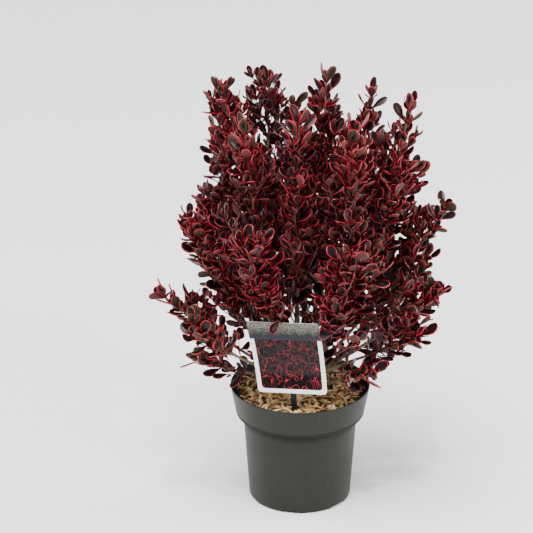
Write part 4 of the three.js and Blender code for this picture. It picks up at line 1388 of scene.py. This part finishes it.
# %% Growing the sprays: tufts and small pairs
TUFT_CHANCE, TUFT_SIZE, TUFT_OPENING, TUFT_WOBBLE = 0.2, (0.36, 0.62), (24, 50), 30
SMALL_PAIR_CHANCE, SMALL_PAIR_TURN, SMALL_PAIR_OPENING = 0.4, (45, 135), (30, 64)
SMALL_PAIR_GROWTH, SMALL_PAIR_TOP = (0.2, 1.0), 320
SMALL_PAIR_SEED = 4001
small_chance = seeded(SMALL_PAIR_SEED)


def grow_tuft(shoot, root, along, turn, chance, tint):
    """A pair of small leaves close to the twig, in the axil of a larger one."""
    size = between(TUFT_SIZE, chance())
    turn += 90 + TUFT_WOBBLE * (chance() - 0.5)
    grow_pair(shoot, root, along, turn, between(TUFT_OPENING, chance()), size, tint)


def grow_small_pair(shoot, root, along, turn, tint):
    """Another pair of small leaves at a node. Low down they have dropped, or are smaller."""
    size = between(TUFT_SIZE, small_chance())
    size *= between(SMALL_PAIR_GROWTH, min(root.z / SMALL_PAIR_TOP, 1))
    if size >= TUFT_SIZE[0]:
        turn += between(SMALL_PAIR_TURN, small_chance())
        grow_pair(shoot, root, along, turn, between(SMALL_PAIR_OPENING, small_chance()), size, tint)


print("leaves of a tuft, against a full leaf:", TUFT_SIZE)

# %% [markdown]
# A side twig bends up along its way and bears pairs of its own, smaller than the leader's.
# Where there is no room for it, a shorter one is tried. Twigs of its own branch from some of
# its nodes. A twig that bears no more than one leaf is left out.

# %% Growing the sprays: side twigs
SIDE_LENGTH = (22, 50)
LOW_SIDE_STRETCH = 1.4
SUB_SIDE_CHANCE = 0.26
SUB_SIDE_LENGTH = (12, 22)
SIDE_SPREAD = (30, 50)
SIDE_LIFT = 0.35
SIDE_BEND = 0.22
SIDE_NODE_SPACING = 10.5
SIDE_ROOM = 0.5
SIDE_TRIES = (1, 0.75, 0.5)
SIDE_TESTS = (0.35, 0.6, 0.8, 1)
SIDE_AXILS = (10, 190)
SIDE_OPENING, SIDE_END_OPENING = (44, 66), (26, 36)
SIDE_SIZE, SIDE_END_SIZE = (0.64, 1.02), (0.58, 0.96)
SIDE_FOOT_RADIUS, SUB_SIDE_FOOT_RADIUS, SIDE_TIP_RADIUS = 0.75, 0.5, 0.4


def side_path(root, along, turn, full, spread):
    """A side twig's path, bending up a little along its way."""
    outward = around_twig(along, turn)
    heading = along * math.cos(spread) + outward * math.sin(spread) + UP * SIDE_LIFT
    heading.normalize()
    return Path([
        root + heading * (full * share) + UP * (SIDE_BEND * full * share * share)
        for share in shares(SIDE_STEPS)
    ])


def grow_side(shoot, root, along, turn, full, chance, tint, bare=0.0, branches=True):
    """A side twig with leaves beyond its bare foot, and twigs of its own, if there is room."""
    spread = math.radians(between(SIDE_SPREAD, chance()))
    for share in SIDE_TRIES:
        path = side_path(root, along, turn, full * share, spread)
        if all(fits(shoot, path.at(path.length * t)[0], SIDE_ROOM) for t in SIDE_TESTS):
            break
    else:
        return False
    count = max(1, round(path.length / SIDE_NODE_SPACING))
    first_turn = 360 * chance()
    grown = 0
    for i in range(max(1, round(count * bare)), count + 1):
        place, heading = path.at(path.length * i / count)
        last = i == count
        opening = between(SIDE_END_OPENING if last else SIDE_OPENING, chance())
        size = between(SIDE_END_SIZE if last else SIDE_SIZE, chance())
        pair_turn = first_turn + 90 * i + PAIR_WOBBLE * (chance() - 0.5)
        grown += grow_pair(shoot, place, heading, pair_turn, opening, size, tint)
        if last or chance() < TUFT_CHANCE:
            grow_tuft(shoot, place, heading, pair_turn, chance, tint)
        if small_chance() < SMALL_PAIR_CHANCE:
            grow_small_pair(shoot, place, heading, pair_turn, tint)
        for side in SIDE_AXILS:
            if branches and not last and chance() < SUB_SIDE_CHANCE:
                length = between(SUB_SIDE_LENGTH, chance())
                grow_side(shoot, place, heading, pair_turn + side, length, chance, tint, 0, False)
    if grown > 1:
        foot_radius = SIDE_FOOT_RADIUS if branches else SUB_SIDE_FOOT_RADIUS
        twigs["side"].append((path, foot_radius, SIDE_TIP_RADIUS))
    return grown > 1


print("a side twig is", SIDE_LENGTH, "mm long, with a pair every", SIDE_NODE_SPACING, "mm")

# %% [markdown]
# A tint is dealt out by chance and by where a spray grows: inside the crown, outside, low
# on the outside, or at a tip. Inside and low on the outside the darker tints are dealt out
# more often, as painted shade. One tint for a whole shoot would show as a large patch, and
# one for each leaf as confetti, so the leaves of a spray share theirs.

# %% Growing the sprays: dealing out the tints
OUTER_SHARE = 0.55
LOW_TINT_CHANCE, LOW_TINT_TOP = (1.6, 0), 380
# inner and low: more of the shaded tint and fewer vivid edges, as painted shade
TINT_ODDS = {
    "inner": (("shaded", 0.62), ("maroon", 0.30), ("vivid", 0.08)),
    "outer": (("shaded", 0.18), ("maroon", 0.38), ("vivid", 0.30), ("flushed", 0.06), ("young", 0.08)),
    "low": (("shaded", 0.34), ("maroon", 0.38), ("vivid", 0.10), ("young", 0.18)),
    "tip": (("maroon", 0.32), ("vivid", 0.20), ("young", 0.48)),
}


def deal_tint(place, near_tip, chance):
    """A tint for one spray, by where it grows."""
    outer = math.hypot(place.x, place.y) / max(crown_reach_at(place.z), 1)
    zone = "tip" if near_tip else ("outer" if outer > OUTER_SHARE else "inner")
    if zone == "outer" and chance() < between(LOW_TINT_CHANCE, min(place.z / LOW_TINT_TOP, 1)):
        zone = "low"
    drawn = chance()
    for tint, odds in TINT_ODDS[zone]:
        drawn -= odds
        if drawn <= 0:
            break
    return tint


print("zones of the crown:", list(TINT_ODDS))

# %% [markdown]
# Low down and inside, where little light comes, most nodes of a leader have dropped their
# leaves. There, long thin twigs with bare feet reach out from the boughs to the light.

# %% Growing the sprays: low and inside
OPEN_HEIGHTS = (150, 205)
OPEN_CHANCE = (0.38, 1.0)
INNER_SHARE, INNER_LIGHT = 0.36, 0.55
LOW_TWIG_FROM, LOW_TWIG_SPACING = 0.4, 9
LOW_TWIG_LENGTH, LOW_TWIG_BARE = (36, 66), (0.3, 0.6)


def is_leafy(place, chance):
    """Tells whether a node of a leader still bears leaves."""
    lit = share_of(OPEN_HEIGHTS, place.z)
    if math.hypot(place.x, place.y) < INNER_SHARE * crown_reach_at(place.z):
        lit = min(lit, INNER_LIGHT)
    return chance() < between(OPEN_CHANCE, lit)


def grow_low_twigs(shoot, chance):
    """Long thin twigs from the upper part of a bough, bare at the foot."""
    bough = shoot["bough"]
    along_bough = bough.length * LOW_TWIG_FROM
    while along_bough < bough.length:
        place, along = bough.at(along_bough)
        full = between(LOW_TWIG_LENGTH, chance())
        bare = between(LOW_TWIG_BARE, chance())
        tint = deal_tint(place + along * full, False, chance)
        grow_side(shoot, place, along, 360 * chance(), full, chance, tint, bare)
        along_bough += LOW_TWIG_SPACING


print("a low twig is", LOW_TWIG_LENGTH, "mm long")

# %% [markdown]
# Just below its tip a shoot has no side twigs, and further down they are short at first.
# How far each stretch goes depends on the height of the tip. A few shoots have a habit of
# their own, and three have their top pairs turned, as the plant shows them.

# %% Growing the sprays: habits at the tips
BARE_TIP, TAPER_TO_TIP, HABIT_HEIGHTS = (20, 46), (80, 130), (320, 420)
TIP_HABITS = {
    "left_crown": (26, 90), "middle_left_crown": (26, 90), "left_skirt": (46, 140),
    "right_shoulder": (46, 140), "front_right_skirt": (40, 130), "left_front_skirt": (40, 130),
}
TIP_TURNS = {"right_crown": 80, "right_shoulder": 75, "right_back_crown": 90}


def tip_habit(shoot):
    """The lengths below the tip that bear no side twigs, and over which these shorten."""
    height = share_of(HABIT_HEIGHTS, shoot["tip_z"])
    habit = between(BARE_TIP, height), between(TAPER_TO_TIP, height)
    return TIP_HABITS.get(shoot["place"], habit)


print("shoots with a habit of their own:", len(TIP_HABITS))

# %% [markdown]
# A shoot is grown from its bough to its tip. At each node it bears a pair of leaves, a tuft
# and often two side twigs. Every side twig and every few nodes of the leader get a new tint.
# Near the tip the pairs stand closer to the leader, and a second pair crosses each.

# %% Growing the sprays: whole shoots
FIRST_NODE = 7
SHORT_OF_TIP = 18
ALWAYS_LEAFY = 60
SAME_TINT_NODES = 3
LEADER_RADII = (1.6, 1.0)
LEADER_AXILS = (20, 200)
LEADER_OPENING, LEADER_SIZE = (52, 68), (0.84, 1.10)
NEAR_TIP, NEAR_TIP_OPENING, NEAR_TIP_SIZE = 45, (46, 62), (0.98, 1.24)
CROSS_OPENING, CROSS_SIZE = (26, 42), (0.66, 0.86)
END_OPENING, END_CROSS_OPENING, END_CROSS_SIZE = (30, 42), (12, 22), 0.74
SIDE_CHANCE = 0.85
TIP_TINT_FROM, TIP_TINT_CHANCE = 70, 0.6
SHOOT_SEEDS_FROM = 1000


def grow_shoot(shoot):
    """The leaves and twigs of one shoot, from its bough to its tip."""
    chance = seeded(SHOOT_SEEDS_FROM + shoot["seed"])
    grow_low_twigs(shoot, chance)
    leader = shoot["leader"]
    end = leader.length - SHORT_OF_TIP
    bare_tip, taper = tip_habit(shoot)
    count = max(2, round((end - FIRST_NODE) / NODE_SPACING))
    first_turn = 360 * chance()
    for i in range(count + 1):
        along_leader = between((FIRST_NODE, end), i / count)
        left = leader.length - along_leader
        place, along = leader.at(along_leader)
        near_tip = left < NEAR_TIP
        if i % SAME_TINT_NODES == 0 or near_tip:
            tint = deal_tint(place, near_tip, chance)
        if left > ALWAYS_LEAFY and not is_leafy(place, chance):
            continue
        last = i == count
        openings = NEAR_TIP_OPENING if near_tip else LEADER_OPENING
        opening = between(END_OPENING if last else openings, chance())
        pair_turn = first_turn + 90 * i + PAIR_WOBBLE * (chance() - 0.5)
        if near_tip:
            pair_turn += TIP_TURNS.get(shoot["place"], 0)
        size = between(NEAR_TIP_SIZE if near_tip else LEADER_SIZE, chance())
        grow_pair(shoot, place, along, pair_turn, opening, size, tint)
        grow_tuft(shoot, place, along, pair_turn, chance, tint)
        grow_small_pair(shoot, place, along, pair_turn, tint)
        if last:
            opening = between(END_CROSS_OPENING, chance())
            grow_pair(shoot, place, along, pair_turn + 90, opening, END_CROSS_SIZE, tint)
        elif near_tip:
            opening = between(CROSS_OPENING, chance())
            grow_pair(shoot, place, along, pair_turn + 90, opening, between(CROSS_SIZE, chance()), tint)
        for side in LEADER_AXILS:
            full = between(SIDE_LENGTH, chance()) * min(1, left / taper)
            full *= between((LOW_SIDE_STRETCH, 1), min(1, 2 * along_leader / leader.length))
            if left > bare_tip and chance() < SIDE_CHANCE:
                at_tip = left < TIP_TINT_FROM and chance() < TIP_TINT_CHANCE
                side_tint = deal_tint(place + along * full, at_tip, chance)
                grow_side(shoot, place, along, pair_turn + side, full, chance, side_tint)
    points = [leader.at(end * step / LEADER_STEPS)[0] for step in range(LEADER_STEPS + 1)]
    twigs["leader"].append((Path(points), *LEADER_RADII))


for shoot in shoots:
    grow_shoot(shoot)
print("leaves by tint:", {tint: len(made) for tint, made in leaves.items()})
print("leaves in all:", sum(map(len, leaves.values())), "side twigs:", len(twigs["side"]))

# %% [markdown]
# One leaf hangs over the label's top edge, as if the card had been pushed in under it. It
# grows from the end of the nearest side twig and droops in front of the card, so it isn't
# held to the space that the others keep to.

# %% Growing the sprays: the leaf over the label
OVER_LABEL = Vector((1, CARD_HEIGHT + 3, CARD_BOW + 2))
DROOP = Vector((-0.5, -0.7, 0.42))
DROOPING_SIZE = 0.8
hook = LABEL @ OVER_LABEL
twig_ends = [path.points[-1] for path, *radii in twigs["side"]]
root = min(twig_ends, key=lambda end: (end - hook).length)
down = (LABEL.to_3x3() @ DROOP).normalized()
ahead = LABEL.to_3x3() @ UP
ahead = (ahead - down * ahead.dot(down)).normalized()
leaves["maroon"].append((root * MM, down, ahead, DROOPING_SIZE, leaf_breadth(root.z)))
print("the leaf over the label grows", round((root - hook).length, 1), "mm from its hook")

# %% [markdown]
# The growth rule has only written a list of places. Now the recipe is run for each tint, so
# that the leaves of one tint are joined. A tint with very many leaves is two or three
# pieces, each small enough to be exported whole.

# %% Growing the sprays: leaves in place
MOST_LEAVES_TO_A_PIECE = 2000
LEAF_ROLL = 52.0
FIRST_LEAF_SEED, NEXT_LEAF_SEED = 40, 5
for tint, made in leaves.items():
    finishes = leaf_finishes(tint)
    for part, first in enumerate(range(0, len(made), MOST_LEAVES_TO_A_PIECE)):
        name = f"leaves_{tint}_{part + 1}"
        roots, lengths, facings, sizes, breadths = zip(*made[first:first + MOST_LEAVES_TO_A_PIECE])
        mesh = points_mesh(
            name + "_points", roots, [], along=lengths, face=facings, size=sizes, breadth=breadths
        )
        seed = FIRST_LEAF_SEED + len(name) + NEXT_LEAF_SEED * part
        values = {"Forms": leaf_shelf, "Roll in degrees": LEAF_ROLL, "Seed": seed, **finishes}
        piece = run_recipe(leaf_recipe, name, mesh, values)
        finished(piece, nodes_named("foliage_"))
clear_shelf(leaf_shelf)

# %% [markdown]
# ## Stems, boughs and twigs
# Every limb follows a path, so one recipe makes them all: a ring of points is swept along
# the path, as thick as the path says at each place. For the woody parts the rings are close
# together and noise moves them in and out, which gives the bark its ridges. Thin twigs stay
# smooth, because their ridge height is nothing.

# %% Limbs: the recipe that sweeps them
board, wires = new_recipe("sweep_limbs", {
    "Sides": "Int",
    "Ring spacing": "Float",
    "Ridge height": "Float",
    "Ridges to the metre": "Float",
    "Seed": "Int",
    "Finish": "Material",
})
line = board.node("GeometryNodeMeshToCurve", {}, {"Mesh": wires["Geometry"]})
sockets = {"Curve": line, "Length": wires["Ring spacing"]}
rings = board.node("GeometryNodeResampleCurve", {"mode": "LENGTH"}, sockets)
ring = board.node("GeometryNodeCurvePrimitiveCircle", {}, {"Resolution": wires["Sides"], "Radius": 1.0})
swept = board.node("GeometryNodeCurveToMesh", {}, {
    "Curve": rings, "Profile Curve": ring, "Fill Caps": True,
    "Scale": named_value(board, "thickness", "FLOAT"),
})
place = board.node("GeometryNodeInputPosition")
ridges = board.node("ShaderNodeTexNoise", {"noise_dimensions": "4D"}, {
    "Vector": place, "W": wires["Seed"], "Scale": wires["Ridges to the metre"], "Detail": 3.0,
}, "Fac")
push = board.node("ShaderNodeVectorMath", {"operation": "SCALE"}, {
    0: board.node("GeometryNodeInputNormal"), "Scale": (ridges - 0.5) * wires["Ridge height"],
})
relief = board.node("GeometryNodeSetPosition", {}, {"Geometry": swept, "Offset": push})
end_recipe(board, relief, (wires["Finish"], True))
limb_recipe = board
LIMB_STEP = 2.5
SCAR_HEIGHT, SCAR_WIDTH = 0.16, 1.6


def limb_mesh(name, limbs, scar_every=0.0):
    """Paths as lines of points with a thickness, swollen at leaf scars where asked."""
    points, edges, thickness = [], [], []
    for path, radius_at in limbs:
        steps = max(2, round(path.length / LIMB_STEP))
        for step in range(steps + 1):
            place = path.at(path.length * step / steps)[0]
            radius = radius_at(step / steps)
            if scar_every:
                off = (path.length * step / steps) % scar_every - scar_every / 2
                radius *= 1 + SCAR_HEIGHT * math.exp(-(off / SCAR_WIDTH) ** 2)
            if step:
                edges.append((len(points) - 1, len(points)))
            points.append(place * MM)
            thickness.append(radius * MM)
    return points_mesh(name, points, edges, thickness=thickness)


print("inputs of the limb recipe:", list(wires))

# %% [markdown]
# Bark on a young coprosma is grey-brown with an olive cast, finely cracked along the stem
# and ringed by old leaf scars. The stems flare where they meet the mulch.

# %% Limbs: stems and boughs
SCAR_SPACING = 12.0


def stem_radius(share):
    """A stem's radius by the share of its length, with a flare at its foot."""
    flare = max(0, 1 - share / STEM_FLARE_SHARE)
    swell = (STEM_FLARE_RADIUS - STEM_FOOT_RADIUS) * flare ** 2
    return between((STEM_FOOT_RADIUS, STEM_TIP_RADIUS), share) + swell


def tapering(foot, tip):
    """The radius of a limb that thins evenly from foot to tip."""
    return lambda share: between((foot, tip), share)


bark, board, shader = new_finish("bark", (0.16, 0.12, 0.07), 0.8)
place = own_place(board)
cracks = mottle(board, stretched(board, place, (1400, 1400, 260)), 1.0, 5.0)
patches = mottle(board, place, 160.0)
tone = board.mix((0.070, 0.048, 0.028), (0.27, 0.21, 0.12), cracks * 0.55 + patches * 0.6)
lay_on(
    board, shader,
    Base_Color=tone, Roughness=0.68 + cracks * 0.25, Normal=raised(board, cracks, 0.9, 0.0005),
)
limbs = [(stem, stem_radius) for stem in stems]
limbs += [(shoot["bough"], tapering(*BOUGH_RADII)) for shoot in shoots]
woody = run_recipe(limb_recipe, "bark_limbs", limb_mesh("limb_lines", limbs, SCAR_SPACING), {
    "Sides": 12, "Ring spacing": 0.0012, "Ridge height": 0.0011, "Ridges to the metre": 620.0,
    "Seed": 3, "Finish": bark,
})
finished(woody, nodes_named("stem_") + nodes_named("bough_"))

# %% [markdown]
# Twigs carry on from the boughs. The leaders are olive tan, the side twigs thinner and
# redder. Both are plain colours, as the leaves are, since a pattern has no room on a twig
# one or two millimetres thick.

# %% Limbs: twigs
twig_tan = new_finish("twig tan", (0.130, 0.090, 0.048), 0.6)[0]
twig_red = new_finish("twig reddish", (0.105, 0.050, 0.032), 0.55)[0]
TWIG_KINDS = {
    "leader": ("twigs_leaders", 6, 0.006, twig_tan), "side": ("twigs_side", 4, 0.009, twig_red),
}
for kind, (name, sides, spacing, finish) in TWIG_KINDS.items():
    lines = [(path, tapering(*radii)) for path, *radii in twigs[kind]]
    piece = run_recipe(limb_recipe, name, limb_mesh(name + "_lines", lines), {
        "Sides": sides, "Ring spacing": spacing, "Ridge height": 0.0, "Ridges to the metre": 100.0,
        "Seed": 1, "Finish": finish,
    })
    smoothed(piece, 75)
    finished(piece, nodes_named("foliage_"))

# %% [markdown]
# ## Floor and light
# The plant stands on a plain pale floor in soft light from all round, as in a light tent. A
# broad light overhead shapes the crown, three softboxes fill its sides and front, and three
# small bright lamps put glints on the leaves.

# %% Floor and light
FLOOR_CORNERS = [(-5, -4, 0), (5, -4, 0), (5, 8, 0), (-5, 8, 0)]
TENT_STRENGTH = 0.56
OVERHEAD_STRENGTH, OVERHEAD_SPREAD, OVERHEAD_TILT = 4.9, 45, (14, -12, 0)
AIM = Vector((0, 0, 0.25))
SOFTBOXES = {
    "left": ((-1.6, 0.5, 0.7), 1.0, 10),
    "right": ((1.6, 0.4, 0.7), 1.0, 24),
    "front": ((-0.4, -2.2, 2.2), 0.8, 4),
    "glint left": ((-1.1, -1.3, 1.5), 0.10, 14.0),
    "glint right": ((1.2, -1.0, 1.3), 0.10, 14.0),
    "glint high": ((0.1, -0.9, 2.1), 0.10, 14.0),
}
floor = new_piece("floor", FLOOR_CORNERS, [(0, 1, 2, 3)])
floor.data.materials.append(new_finish("pale floor", (0.90, 0.90, 0.90), 0.9)[0])

world = bpy.data.worlds.new("studio")
bpy.context.scene.world = world
world.use_nodes = True
world.node_tree.nodes["Background"].inputs["Color"].default_value = (1, 1, 1, 1)
world.node_tree.nodes["Background"].inputs["Strength"].default_value = TENT_STRENGTH

overhead = add_object("overhead", bpy.data.lights.new("overhead", "SUN"))
overhead.data.energy = OVERHEAD_STRENGTH
overhead.data.angle = math.radians(OVERHEAD_SPREAD)
overhead.rotation_euler = [math.radians(tilt) for tilt in OVERHEAD_TILT]
for name, (place, size, power) in SOFTBOXES.items():
    light = add_object(name, bpy.data.lights.new(name, "AREA"))
    light.data.shape = "DISK"
    light.data.size = size
    light.data.energy = power
    light.location = place
    light.rotation_euler = (AIM - Vector(place)).to_track_quat("-Z", "Y").to_euler()
print("softboxes:", list(SOFTBOXES))

# %% [markdown]
# ## Size
# The dressed plant has to fill the same box as the CAD model.
